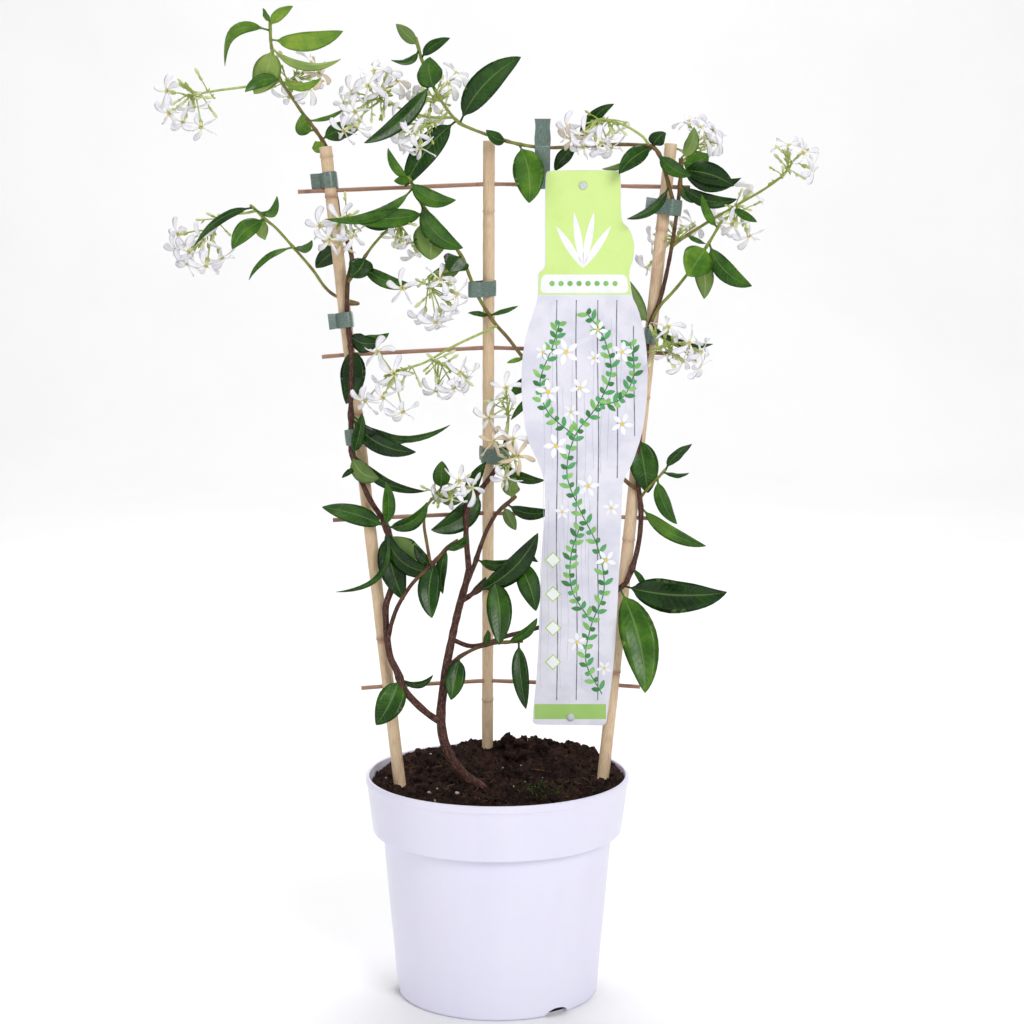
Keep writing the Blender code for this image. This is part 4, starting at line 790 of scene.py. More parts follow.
def stem_finish():
    """Bark and young stem in one: age runs from smooth yellow-green to dark reddish brown."""
    made = Finish("stem", Roughness=0.6, Specular_IOR_Level=0.35)
    around, along = made.uv()
    streak = made.noise(made.stretched(around, along, 5.0, 0.9), 3.0, 5, 0.65, 0.4)
    place_here = made.place()
    patchy = made.noise(place_here, 90, 3)
    age = made.op("ADD", made.mark("age"), made.span(patchy, 0.3, 0.7, -0.12, 0.12))
    bark = made.ramp(streak, (0.28, colour(34, 18, 16)), (0.5, colour(74, 44, 37)),
                     (0.72, colour(126, 90, 76)))
    young = made.ramp(streak, (0.3, colour(96, 112, 40)), (0.7, colour(150, 160, 70)))
    middle = made.ramp(streak, (0.3, colour(84, 56, 32)), (0.7, colour(134, 108, 62)))
    tint = made.mix(made.span(age, 0.1, 0.42), young, middle)
    tint = made.mix(made.span(age, 0.42, 0.8), tint, bark)
    speck = made.span(made.cells(place_here, 900), 0.12, 0.2, 1.0, 0.0)
    specks = made.op("MULTIPLY", speck, made.span(age, 0.5, 0.9, 0.0, 0.55))
    made.paint(made.mix(specks, tint, colour(196, 170, 148)))
    made.rough(made.span(age, 0.0, 0.9, 0.42, 0.8))
    furrows = made.op("MULTIPLY", streak, made.span(age, 0.0, 0.9, 0.25, 1.0))
    return made.bump(furrows, 0.0007, 0.8)


def petal_finish():
    """White petal, cream-yellow at its root, with faint painted lilac shade along the fold down its middle
    and in patches; dry ones are brown.
    """
    made = Finish("petal", Roughness=0.66, Specular_IOR_Level=0.2)
    across, along = made.uv()
    fine = made.noise(made.place(), 260, 3)
    tint = made.ramp(along, (0.0, colour(206, 190, 104)), (0.09, colour(236, 228, 176)),
                     (0.2, colour(246, 245, 242)), (1.0, colour(243, 241, 250)))
    # Painted shade: a grey-lilac band along the petal's middle fold, and soft patches over it, darken the
    # white.
    from_crease = made.op("ABSOLUTE", made.op("SUBTRACT", across, 0.45))
    crease_shade = made.span(from_crease, 0.0, 0.16, 0.28, 0.0)
    shade = made.op("ADD", crease_shade, made.span(fine, 0.4, 0.75, 0.0, 0.4))
    tint = made.mix(shade, tint, colour(214, 211, 230))
    made.paint(made.mix(made.mark("dry"), tint, colour(214, 186, 134)))
    return made.bump(fine, 0.0003, 0.5)


def flower_green_finish():
    """Stalks, calyxes, tubes and buds: green at their foot, cream towards the mark `pale`."""
    made = Finish("flower_green", Roughness=0.5, Specular_IOR_Level=0.35)
    fine = made.noise(made.place(), 300, 3)
    green = made.ramp(fine, (0.3, colour(132, 152, 62)), (0.7, colour(180, 194, 104)))
    made.paint(made.mix(made.mark("pale"), green, colour(236, 236, 196)))
    return made.bump(fine, 0.0003, 0.4)


def bamboo_finish(name, light, dark, scar):
    """Dry bamboo: long fine fibres, a few stains, and a band at each node given by the mark."""
    made = Finish(name, Roughness=0.45, Specular_IOR_Level=0.4, Coat_Weight=0.1,
                  Coat_Roughness=0.35)
    around, along = made.uv()
    fibre = made.noise(made.stretched(around, along, 9.0, 0.22), 6.0, 5, 0.6)
    stain = made.noise(made.scaled(made.place(), (1, 1, 0.35)), 55, 4, 0.6, 0.6)
    tint = made.ramp(fibre, (0.3, dark), (0.55, light), (0.8, light))
    tint = made.mix(made.span(stain, 0.56, 0.72, 0.0, 0.55), tint, scar)
    made.paint(made.mix(made.mark("node"), tint, scar))
    made.rough(made.span(stain, 0.3, 0.7, 0.38, 0.6))
    return made.bump(fibre, 0.0004, 0.6)


def pot_finish():
    """Pale lavender moulded plastic: faint flow marks, a fine satin grain, and soil dust that
    begins just under the rim."""
    made = Finish("pot_plastic", Roughness=0.33, Specular_IOR_Level=0.45, Coat_Weight=0.12,
                  Coat_Roughness=0.3, Subsurface_Weight=0.08, Subsurface_Scale=0.004)
    place_here = made.place()
    flow = made.noise(made.scaled(place_here, (1, 1, 0.25)), 9, 4, 0.55, 0.7)
    grain = made.noise(place_here, 900, 2)
    dust = made.noise(place_here, 130, 5, 0.7)
    tint = made.ramp(flow, (0.3, colour(226, 223, 243)), (0.7, colour(234, 232, 248)))
    split = made.node("SeparateXYZ")
    made.feed(split.inputs[0], place_here)
    near_rim = made.span(split.outputs[2], 0.150, 0.162, 0.0, 0.25)
    soiled = made.op("MULTIPLY", made.span(dust, 0.62, 0.8), near_rim)
    made.paint(made.mix(soiled, tint, colour(120, 100, 90)))
    made.rough(made.span(dust, 0.3, 0.7, 0.28, 0.4))
    return made.bump(made.op("ADD", grain, made.op("MULTIPLY", flow, 1.5)), 0.00012, 0.5)


def soil_finish(name, dark, light):
    """Matt soil: brown lumps, near-black painted shade in the pits between its grains, and broad moist dark
    patches.
    """
    made = Finish(name, Roughness=0.95, Specular_IOR_Level=0.15)
    place_here = made.place()
    lumps = made.noise(place_here, 260, 6, 0.7)
    grit = made.cells(place_here, 700)
    tint = made.ramp(lumps, (0.3, dark), (0.62, light), (0.8, colour(96, 66, 44)))
    # Painted shade: near-black dots where the surface sinks between grains.
    tint = made.mix(made.span(grit, 0.0, 0.12, 0.7, 0.0), tint, colour(18, 11, 9))
    patchy = made.noise(place_here, 70, 4, 0.6, 0.5)
    made.paint(made.mix(made.span(patchy, 0.38, 0.62, 0.75, 0.0), tint, colour(20, 12, 10)))
    return made.bump(made.op("ADD", lumps, made.op("MULTIPLY", grit, 0.5)), 0.0026, 1.0)


def plain_finish(name, base, other, scale, roughness, **settings):
    """A finish whose colour and gloss drift a little over the surface. `scale` is about the
    number of patches in a metre."""
    made = Finish(name, **settings)
    place_here = made.place()
    patchy = made.noise(place_here, scale, 4, 0.6, 0.3)
    fine = made.noise(place_here, scale * 8, 3)
    made.paint(made.mix(made.span(patchy, 0.35, 0.7), colour(*base), colour(*other)))
    made.rough(made.span(fine, 0.3, 0.7, roughness - 0.06, roughness + 0.06))
    return made.bump(fine, 0.0002, 0.5)


def tape_finish():
    """Satin tying tape with fine ribs along it and paler rubbed streaks."""
    made = Finish("tie_tape", Roughness=0.28, Specular_IOR_Level=0.6, Coat_Weight=0.25,
                  Coat_Roughness=0.2)
    across, along = made.uv()
    rib = made.op("SINE", made.op("MULTIPLY", across, 75.0))
    streak = made.noise(made.stretched(across, along, 7.0, 0.7), 4.0, 4, 0.6)
    made.paint(made.ramp(streak, (0.3, colour(72, 96, 86)), (0.55, colour(102, 122, 114)),
                         (0.8, colour(152, 168, 162))))
    return made.bump(made.op("ADD", made.op("MULTIPLY", rib, 0.4), streak), 0.00012, 0.6)


LEAF_ACROSS = np.array((-1, -0.64, -0.24, 0, 0.24, 0.64, 1, 0.64, 0.24, 0, -0.24, -0.64, -1))
LEAF_SIDE = np.array((0, 1, 1, 1, 1, 1, 0, -1, -1, -1, -1, -1, 0))
LEAF_ROWS = np.array((0, 0, 0.045, 0.085, 0.115, 0.145, 0.185, 0.24, 0.31, 0.39, 0.47, 0.55, 0.63,
                      0.71, 0.79, 0.86, 0.92, 0.965, 1, 1))
LEAF_STALK = 0.105
LEAF_WIDEST = 0.3844
LEAF_THICKNESS = 0.32 * MM
PETIOLE_RADIUS = 0.8 * MM
# Height of the midrib under the blade and depth of its groove on top, and how wide it is as
# a share of half the blade.
MIDRIB = (0.50 * MM, -0.16 * MM, 0.13)
STEM_STEP = 3 * MM
STEM_SIDES = 12
KNOT_REACH = 2.8 * MM


def leaf_points(base, middle, tip, half, roll, fold, wave, twist, phase):
    """Leaves along quadratic curves base, middle, tip. Each cross-section is a thin lens, round
    in the stalk and flat in the blade; the blade's half width is share^0.6 (1 - share)^0.8,
    scaled to its widest; its edges lift by the fold and ripple by the wave."""
    t = LEAF_ROWS[None, :, None]
    base, middle, tip = base[:, None], middle[:, None], tip[:, None]
    centre = base * (1 - t) ** 2 + middle * 2 * t * (1 - t) + tip * t**2
    along = unit((middle - base) * (1 - t) + (tip - middle) * t)
    level = unit(np.cross(tip - base, (0.0, -1.0, 0.0)))
    side = unit(level - along * (level * along).sum(axis=-1, keepdims=True))
    side = turned_about(along, side, each(roll) + each(twist) * (t - 0.4))
    face = np.cross(side, along)
    share = np.clip((t - LEAF_STALK) / (1 - LEAF_STALK), 0, 1)
    blade = each(half) * share**0.6 * (1 - share) ** 0.8 / LEAF_WIDEST
    stalk = PETIOLE_RADIUS * (1 - 0.75 * t)
    reach = np.sqrt(blade**2 + stalk**2)
    v = LEAF_ACROSS[None, None]
    bend = each(fold) * (0.4 + 0.6 * share)
    out = reach * v * np.cos(bend * np.abs(v))
    ripples = each(wave) * blade * v**2 * np.sin(math.tau * (2.3 * t + 0.09 * v) + each(phase))
    lift = blade * (np.sqrt(v**2 + 0.01) - 0.1) * np.sin(bend) + ripples
    in_blade = np.clip(blade / (3 * PETIOLE_RADIUS), 0, 1)
    lens = np.sqrt(np.clip(1 - v**2, 0, 1))
    thick = stalk * lens * (1 - in_blade) + LEAF_THICKNESS / 2 * in_blade
    rib_low, rib_top, rib_wide = MIDRIB
    rib_height = np.where(LEAF_SIDE < 0, rib_low, rib_top)
    rib = np.exp(-((v / rib_wide) ** 2)) * in_blade * (1 - share) * rib_height
    return closed_sections(centre, side, face, out, lift + (thick + rib) * LEAF_SIDE)


def leaf_uv():
    """Across runs 0 to 1 over the upper face and on to 2 back over the lower one."""
    across = (LEAF_ACROSS + 1) / 2
    across = np.where(np.arange(len(across)) > 6, 2 - across, across)
    return grid_uv(across, LEAF_ROWS)


def pixel_depth(path, px, py):
    """Depth, in millimetres, of the path's point that is seen nearest to a pixel."""
    gaps = np.linalg.norm(place(px, py, path[:, 1] / MM) - path, axis=-1)
    return path[gaps.argmin(), 1] / MM


def leaf_curve(path, spec):
    """Base on the stem, middle and tip of a leaf's curve, and half its width."""
    bx, by, tx, ty, width, depth, _roll, bend = spec
    base = path[nearest(path, place(bx, by, pixel_depth(path, bx, by)))[0]]
    tip = place(tx, ty, depth)
    across = unit(np.array((-(ty - by), tx - bx), float))
    middle = place((bx + tx) / 2 - across[0] * bend * 2, (by + ty) / 2 - across[1] * bend * 2,
                   (base[1] / MM + depth) / 2 - 2.0)
    return base, middle, tip, width * 0.5 * (tip[1] - VIEW_EYE[1]) / VIEW_FOCAL


def make_stems(bark, leaf_material):
    """Every stem as a tube that tapers and swells a little where a leaf leaves it, with its
    leaves; returns each stem's path and radii."""
    rng = np.random.default_rng(7)
    routes = {}
    for name, ((foot, tip), (low, high), freshness, parent, points) in STEMS.items():
        path = place(*np.array(points, float).T)
        if parent:
            parent_path = routes[parent][0]
            path[0] = parent_path[nearest(parent_path, path[0])[0]]
        path = evenly(smooth_route(path), STEM_STEP)
        share = np.linspace(0, 1, len(path))
        radii = (foot + (tip - foot) * share) * MM
        specs = LEAVES.get(name, [])
        curves = [leaf_curve(path, spec) for spec in specs]
        run = lengths_along(path)
        knots = run[[nearest(path, curve[0])[0] for curve in curves]] if curves else np.array([-1.0])
        swell = np.exp(-(((run[:, None] - knots) / KNOT_REACH) ** 2)).max(axis=1)
        radii = radii * (1 + 0.30 * swell + 0.07 * ripple(path, 0.012, foot))
        routes[name] = (path, radii)
        stem = Shape()
        age = low + (high - low) * np.concatenate(([0], share, [1]))
        stem.grids(tubes(path, radii, STEM_SIDES, (0.0, 1.0, 0.05)), tube_uv(path, STEM_SIDES),
                   age=age[None, :, None])
        slot = "bark" if low > 0.7 else "green_stem"
        if not curves:
            stem.piece(name, bark, slot, name)
            continue
        stem.piece(name + "_stem", bark, slot)
        base, middle, end, half = (np.array(part) for part in zip(*curves))
        roll = np.radians([spec[6] for spec in specs])
        count = len(specs)
        fold = rng.uniform(0.12, 0.5, count)
        wave = rng.uniform(0.03, 0.10, count)
        twist = rng.uniform(-0.5, 0.5, count)
        tone = freshness + rng.uniform(-0.2, 0.22, count)
        phase = rng.uniform(0, 6, count)
        grids = leaf_points(base, middle, end, half, roll, fold, wave, twist, phase)
        leaves = Shape().grids(grids, leaf_uv(), tone=each(tone))
        leaves.piece(name + "_leaves", leaf_material, "leaf", name)
    return routes


PETAL_ACROSS = np.array((-1, -0.4, 0.4, 1, 0.4, -0.4, -1))
PETAL_SIDE = np.array((0, 1, 1, 0, -1, -1, 0))
PETAL_ROWS = np.array((0, 0, 0.14, 0.32, 0.52, 0.72, 0.88, 1.0, 1.0))
PETAL_THICKNESS = 0.00035
MOUTH_RADIUS = 0.0015


def flower_frames(start, centre):
    """Facing, side and up directions of flowers that grow from a start to a centre: they face
    halfway between their own way out and the front."""
    facing = unit(unit(centre - start) + np.array((0, -0.6, 0)))
    side = unit(np.cross(facing, (0.13, 0.2, 0.97)))
    return facing, side, np.cross(side, facing)


def petal_points(centre, facing, side, high, turn, length, width, twist, recurve):
    """Petals of many flowers: a curve that leaves the mouth, runs outwards and sweeps to one
    side like a pinwheel, with a strap that widens to two thirds and is twisted along itself."""
    t = PETAL_ROWS[None, :, None]
    way = side * np.cos(turn)[:, None] + high * np.sin(turn)[:, None]
    beside = -side * np.sin(turn)[:, None] + high * np.cos(turn)[:, None]
    way, beside, facing, centre = way[:, None], beside[:, None], facing[:, None], centre[:, None]
    swing = 0.34 * t**1.6
    out = MOUTH_RADIUS * 0.6 + each(length) * (t - 0.10 * t**3)
    sweep = each(length) * swing
    back = each(recurve) * each(length) * t**2 - 0.06 * each(length) * np.sin(np.pi * t)
    middle = centre + way * out + beside * sweep - facing * back
    along = unit(way + beside * (0.54 * t**0.6) - facing * (2 * each(recurve) * t))
    flat = unit(np.cross(facing, along))
    flat = turned_about(along, flat, each(twist) * t**0.8)
    normal = np.cross(along, flat)
    half = each(width) * (0.24 + 0.76 * np.sin(np.pi * np.clip(t * 0.62 + 0.02, 0, 1)) ** 1.6) / 2
    half = half * np.sqrt(np.clip(1 - np.clip((t - 0.78) / 0.24, 0, 1) ** 2.8, 0, 1))
    v = PETAL_ACROSS[None, None]
    lean = np.where(v > 0, 1.25, 0.8)
    edge = half * v * lean
    wave = 0.16 * np.sin(math.tau * (1.1 * t + 0.3 * v) + 9 * each(twist)) * t
    cup = half * (0.25 * v**2 + wave) + PETAL_SIDE * PETAL_THICKNESS / 2
    return closed_sections(middle, flat, normal, edge, cup)


def revolved(foot, way, across, profile, sides):
    """Turned shapes along many axes: profile rows are distance along and radius, both arrays
    (rows,) or (copies, rows), swept round each axis from its foot."""
    distance, radius = (np.atleast_2d(part)[..., None, None] for part in profile)
    turn = ring_turns(sides)[:, None]
    beside = np.cross(way, across)
    ring = across[:, None, None] * np.cos(turn) + beside[:, None, None] * np.sin(turn)
    return foot[:, None, None] + way[:, None, None] * distance + ring * radius


def bezier(start, middle, end, steps):
    """Quadratic curves from start to end, drawn towards the middle point."""
    t = np.linspace(0, 1, steps)[None, :, None]
    return start[:, None] * (1 - t) ** 2 + middle[:, None] * 2 * t * (1 - t) + end[:, None] * t**2


# Profiles of a flower's calyx and tube, in millimetres along and across; a bud's and a bract's
# run from 0 to 1, and a bract's width is in millimetres.
CALYX_RUN = np.array((-0.6, -0.3, 0.6, 1.6, 2.6, 3.3)) * MM
CALYX_WIDE = np.array((0.0, 0.9, 1.35, 1.5, 1.75, 1.0)) * MM
TUBE_RUN = np.array((1.0, 1.2, 3.0, 4.4, 5.8, 7.3, 7.9, 7.4, 5.0, 4.2)) * MM
TUBE_WIDE = np.array((0.0, 0.8, 0.9, 1.35, 1.4, 1.5, 1.8, 1.1, 0.6, 0.0)) * MM
BUD_RUN = np.array((0.0, 0.0, 0.08, 0.22, 0.42, 0.62, 0.82, 0.95, 1.0))
BUD_WIDE = np.array((0.0, 0.45, 0.85, 0.62, 0.60, 1.0, 0.85, 0.35, 0.0))
BUD_RADIUS = 0.85 * MM
BRACT_RUN = np.array((0.0, 0.0, 0.25, 0.6, 1.0))
BRACT_WIDE = np.array((0.0, 0.4, 0.7, 0.5, 0.0)) * MM
STALK_STEP = 3 * MM
STALK_SIDES = 8
PETALS = 5


def make_trusses(routes, petal_material, green_material):
    """Every truss: its stalk, then for each flower a stalklet, calyx, tube and five petals,
    and buds round the hub."""
    rng = np.random.default_rng(23)
    for name, (parent, stalk, blooms) in TRUSSES.items():
        parent_path = routes[parent][0]
        path = place(*np.array(stalk, float).T)
        path[0] = parent_path[nearest(parent_path, path[0])[0]]
        path = evenly(smooth_route(path), STALK_STEP)
        radii = np.linspace(1.00, 0.75, len(path)) * MM
        routes[name] = (path, radii)
        greens = Shape()
        greens.grids(tubes(path, radii, STALK_SIDES), tube_uv(path, STALK_SIDES), pale=0.05)
        centre = place(*np.array(blooms, float).T)
        steps_back = np.minimum(len(path) - 1, rng.integers(0, 4, len(blooms)))
        start = path[len(path) - 1 - steps_back]
        facing, side, high = flower_frames(start, centre)
        add_tubes(greens, start, centre - facing * FLOWER_TUBE, facing, side)
        petals = Shape()
        add_petals(petals, centre, facing, side, high, rng)
        petals.piece(name + "_petals", petal_material, "petal", name)
        add_buds(greens, path, centre, rng)
        greens.piece(name + "_greens", green_material, "flower_green")


def add_tubes(greens, start, back, facing, side):
    """Green parts of a truss's flowers: a bent stalklet, the calyx and the tube of each."""
    pull = (start + back) / 2 + unit(back - start) * MM + np.array((0, 0, 1.5)) * MM
    lines = bezier(start, pull, back, 7)
    greens.grids(tubes(lines, np.linspace(0.55, 0.6, 7) * MM, 6), tube_uv(lines, 6),
                 pale=np.linspace(0.0, 0.35, 9)[None, :, None])
    greens.grids(revolved(back, facing, side, (CALYX_RUN, CALYX_WIDE), 10), pale=0.15)
    greens.grids(revolved(back, facing, side, (TUBE_RUN, TUBE_WIDE), 10),
                 pale=np.linspace(0.25, 0.95, len(TUBE_RUN))[None, :, None])


def add_petals(petals, centre, facing, side, high, rng):
    """Five petals for each flower, each a little different; a few flowers are dry."""
    count = len(centre)
    dry = (rng.random(count) < 0.07) * rng.uniform(0.3, 0.8, count)
    flower = np.repeat(np.arange(count), PETALS)
    turn = math.pi * (2 * np.tile(np.arange(PETALS), count) + 0.37 * flower) / PETALS
    length = FLOWER_RADIUS * rng.uniform(0.92, 1.08, len(flower))
    width = rng.uniform(0.0038, 0.0052, len(flower))
    twist = rng.uniform(0.4, 1.5, len(flower))
    recurve = rng.uniform(-0.05, 0.42, len(flower))
    grids = petal_points(centre[flower], facing[flower], side[flower], high[flower], turn, length,
                         width, twist, recurve)
    petals.grids(grids, grid_uv((PETAL_ACROSS + 1) / 2, PETAL_ROWS), dry=each(dry[flower]))


def add_buds(greens, path, centres, rng):
    """Buds and bracts near a truss's hub: stalklets that fan out among the flowers, each ending
    in a small calyx and a slim twisted spindle, and narrow bracts where stalklets leave."""
    count = 8 + len(centres)
    hub = path[-1]
    towards = unit(centres[rng.integers(0, len(centres), count)] - hub)
    way = unit(towards + rng.normal(0, 0.75, (count, 3)))
    reach = rng.uniform(0.004, 0.012, count)
    foot = path[len(path) - 1 - np.minimum(len(path) - 1, rng.integers(0, 6, count))]
    end = foot + way * reach[:, None]
    lines = bezier(foot, (foot + end) / 2 + np.array((0, 0, 0.001)), end, 5)
    greens.grids(tubes(lines, 0.00045, 5), tube_uv(lines, 5), pale=0.0)
    across = unit(np.cross(way, (0.3, 0.2, 0.93)))
    size = rng.uniform(0.0035, 0.0105, count)
    run = size[:, None] * BUD_RUN[None]
    wide = BUD_WIDE[None] * BUD_RADIUS * (0.7 + size[:, None] / 0.012)
    pale = np.linspace(0.05, 0.85, len(BUD_RUN))[None, :, None] * (size[:, None, None] > 0.006)
    greens.grids(revolved(end, way, across, (run, wide), 7), pale=pale)
    foot = np.concatenate((foot, foot, end))
    bract_way = unit(np.tile(way, (3, 1)) + 0.9 * unit(rng.normal(0, 1, foot.shape)))
    bract_across = unit(np.cross(bract_way, (0.3, 0.2, 0.93)))
    bract = BRACT_RUN * rng.uniform(0.0025, 0.0045, len(foot))[:, None]
    greens.grids(revolved(foot, bract_way, bract_across, (bract, BRACT_WIDE), 5), pale=0.08)


# Rows of the photograph at which each cane has a joint, and how strongly the joint is stained.
CANE_NODES = {
    "cane_left": ((157, 0.3), (197, 0.75), (414, 0.6), (524, 0.25), (639, 0.75)),
    "cane_middle": ((212, 0.3), (318, 0.35), (452, 0.3), (590, 0.7), (700, 0.3)),
    "cane_right": ((230, 0.3), (398, 0.45), (540, 0.35), (672, 0.8)),
}
CANE_STEP = 0.0025
CANE_SIDES = 32
# Places for rings of points round a joint, from its middle.
JOINT_RINGS = np.array((-1.4, -0.9, -0.4, 0.1, 0.6, 1.2)) * MM
BAR_SIDES = 14


def cane_ends(name):
    """Foot of a cane, which is lower than the place where it leaves the soil, and its top."""
    low, high, _radius = CANES[name]
    start = place(*low)
    top = place(*high)
    way = unit(start - top)
    return start + way * ((start[2] - CANE_FOOT) / -way[2]), top


def make_canes(bamboo):
    """Each cane is a tube with a shallow waist between joints, and at each joint a low ridge
    over a groove; its cut top has a hollow."""
    for number, (name, (_low, _high, radius)) in enumerate(CANES.items()):
        foot, top = cane_ends(name)
        length = np.linalg.norm(top - foot)
        rows, stains = np.array(CANE_NODES[name]).T
        knots = np.array([np.linalg.norm(at_row(foot, top, row) - foot) for row in rows])
        run = np.linspace(0, 1, int(length / CANE_STEP)) * length
        run = np.sort(np.concatenate((run, (knots[:, None] + JOINT_RINGS).ravel())))
        gap = run[:, None] - knots
        ridge = 0.085 * np.exp(-(((gap - 0.0004) / 0.0011) ** 2)).sum(axis=1)
        groove = 0.075 * np.exp(-(((gap + 0.0010) / 0.0005) ** 2)).sum(axis=1)
        path = foot + (top - foot) * (run / length)[:, None]
        uneven = 0.018 * ripple(path, 0.05, number) + 0.012 * ripple(path, 0.017, number + 2)
        radii = radius * (0.975 + ridge - groove + uneven)
        node = np.clip((stains * np.exp(-((gap / 0.0022) ** 2))).sum(axis=1), 0, 1)
        way = unit(top - foot)
        hollow = path[-1] - way * np.array((0.0, 0.004, 0.004))[:, None]
        path = np.vstack((path, path[-1:], hollow))
        radii = np.concatenate((radii, (radius * 0.93, radius * 0.52, radius * 0.46, 0.0001)))
        path[-4:-3] += way * 0.0002
        node = np.concatenate((node, (0.2, 0.3, 0.8, 0.9)))
        node = np.concatenate(([0], node, [1]))[None, :, None]
        shape = Shape().grids(swept(path, radii, CANE_SIDES, way), tube_uv(path, CANE_SIDES), node=node)
        shape.piece(name + "_bamboo", bamboo, "bamboo", name, sharp=50)


def swept(path, radii, sides, way):
    """A round sweep whose rings are all square to one direction, closed at both ends."""
    across = unit(np.cross(way, (0.0, 1.0, 0.0)))
    beside = np.cross(across, way)
    turn = ring_turns(sides)
    ring = across * np.cos(turn)[:, None] + beside * np.sin(turn)[:, None]
    path = np.vstack((path[:1], path, path[-1:]))
    radii = np.concatenate(([0], radii, [0]))
    return path[None, :, None] + ring[None, None] * radii[None, :, None, None]


def bar_lines():
    """Each crossbar's two ends and its crossings with the three canes."""
    made = {}
    for name, (left_end, left, middle, right, right_end) in BARS.items():
        crossings = []
        for cane, row in zip(CANES, (left, middle, right)):
            crossings.append(at_row(*cane_ends(cane), row))
        ends = [place(*pixel, inner[1] / MM) for pixel, inner in
                ((left_end, crossings[0]), (right_end, crossings[2]))]
        made[name] = np.array([ends[0], *crossings, ends[1]])
    return made


def make_crossbars(bars, bamboo):
    """Each crossbar is a thin tube through the three canes, a little uneven and stained."""
    for number, (name, corners) in enumerate(bars.items()):
        path = evenly(corners, 0.004)
        radii = BAR_RADIUS * (1 + 0.05 * ripple(path, 0.02, number))
        node = np.clip(ripple(path, 0.09, number) * 1.6 - 0.7, 0, 1) * 0.8
        node = np.concatenate(([0.6], node, [0.6]))[None, :, None]
        rod = tubes(path, radii, BAR_SIDES, (0.0, 1.0, 0.0))
        shape = Shape().grids(rod, tube_uv(path, BAR_SIDES), node=node)
        shape.piece(name + "_rod", bamboo, "crossbar_bamboo", name, sharp=50)


# Directions in which a tape lies on what it holds, from the side away from its tail.
BAND_TURNS = np.radians(np.linspace(-130, 130, 66))
TAPE_CROWN = 0.22 * MM


def band_outline(circles, tail_turn, tail):
    """The line of a tape laid round circles, rows of x, y and radius: in each direction it
    stands off the circle that reaches farthest out that way. It opens at the tail's direction,
    where the two ends run out side by side."""
    circles = np.array(circles)
    middle = TIE_THICKNESS / 2 + 0.0003
    turn = math.radians(tail_turn)

    def support(angles):
        way = np.stack((np.cos(angles), np.sin(angles)), -1)
        reach = way @ circles[:, :2].T + circles[:, 2]
        pick = circles[reach.argmax(axis=-1)]
        return pick[..., :2] + way * (pick[..., 2:] + middle)

    path = support(turn + math.pi + BAND_TURNS)
    root = support(np.array([turn]))
    way = np.array((math.cos(turn), math.sin(turn)))
    aside = np.array((-way[1], way[0])) * (TIE_THICKNESS / 2 + 0.00015)
    runs = np.linspace(0.0012, tail, 8)[:, None] * way
    return np.vstack(((root + runs + aside)[::-1], path, root + runs - aside))


TAPE_ACROSS = np.array((-1, -0.55, 0, 0.55, 1, 1, 0.55, 0, -0.55, -1, -1))
TAPE_SIDE = np.array((1, 1, 1, 1, 1, -1, -1, -1, -1, -1, 1))


def tape_strip(line, axes, origin, width, seed):
    """A tape along a line given in two axes: each cross-section lies along the third axis, is
    crowned in its middle, and has a width that changes a little along the tape."""
    u, v, axis = axes
    run = unit(np.gradient(line, axis=0))
    centre = origin + line[:, :1] * u + line[:, 1:] * v
    out = run[:, 1:] * u - run[:, :1] * v
    across = TAPE_ACROSS[None, :, None] * (width / 2) * axis
    uneven = 1 + 0.05 * ripple(centre, 0.015, seed)
    crown = (TAPE_CROWN * (1 - TAPE_ACROSS**2) + TAPE_SIDE * TIE_THICKNESS / 2)[None, :, None]
    return centre[:, None] + across * uneven[:, None, None] + out[:, None] * crown


def tape_uv(line):
    """UV of a tape: 0 to 1 across, and centimetres along."""
    return grid_uv((TAPE_ACROSS + 1) / 2, lengths_along(line) * 100)


def make_tape(name, circles, axes, origin, tail_turn, tail, tape, seed):
    """One tie: a strip of tape round its circles, closed at its two cut ends."""
    line = band_outline(circles, tail_turn, tail)
    points = tape_strip(line, axes, origin, TIE_WIDTH, seed)
    shape = Shape().grids(points, tape_uv(line)).grids(end_cap(points[0])).grids(end_cap(points[-1]))
    shape.piece(name + "_tape", tape, "tie_tape", name, sharp=40)


def end_cap(ring):
    """A strip of quads that closes a tape's cut end, from its outer side to its inner side."""
    outer = ring[:5]
    inner = ring[5:10][::-1]
    return np.stack((outer, inner))[None]


def make_ties(routes, bars, tape):
    """Ties round a cane and its stems: each stem point within the tape's width is one of the
    circles that the tape lies on. The last tie holds the top stem on the top crossbar."""
    for seed, (name, (cane, row, stems, tail_turn, tail)) in enumerate(TIES.items()):
        foot, top = cane_ends(cane)
        origin = at_row(foot, top, row)
        axis = unit(top - foot)
        v = unit(np.cross(axis, (1.0, 0.0, 0.0)))
        u = unit(np.cross(v, axis))
        circles = [(0.0, 0.0, CANES[cane][2] + TIE_ROOM / 2)]
        for stem in stems:
            path, radii = routes[stem]
            offset = path - origin
            inside = np.abs(offset @ axis) < TIE_WIDTH / 2 + 0.0015
            circles += [(*pair, reach + TIE_ROOM) for pair, reach in
                        zip(np.stack((offset @ u, offset @ v), -1)[inside], radii[inside])]
        make_tape(name, circles, (u, v, axis), origin, tail_turn, tail * MM, tape, seed)
    path, radii = routes["stem_top"]
    bar = evenly(bars["crossbar_1"], 0.001)
    low = bar[nearest(bar, place(*TOP_TIE_BAR))[0]]
    offset = path[nearest(path, place(*TOP_TIE_STEM))[0]] - low
    circles = [(0, 0, BAR_RADIUS + TIE_ROOM), (offset[1], offset[2], radii.max() * 1.1 + TIE_ROOM)]
    right, back, up = np.eye(3)
    make_tape("tie_top_bar", circles, (back, up, right), low, 90, TOP_TIE_TAIL, tape, 9)


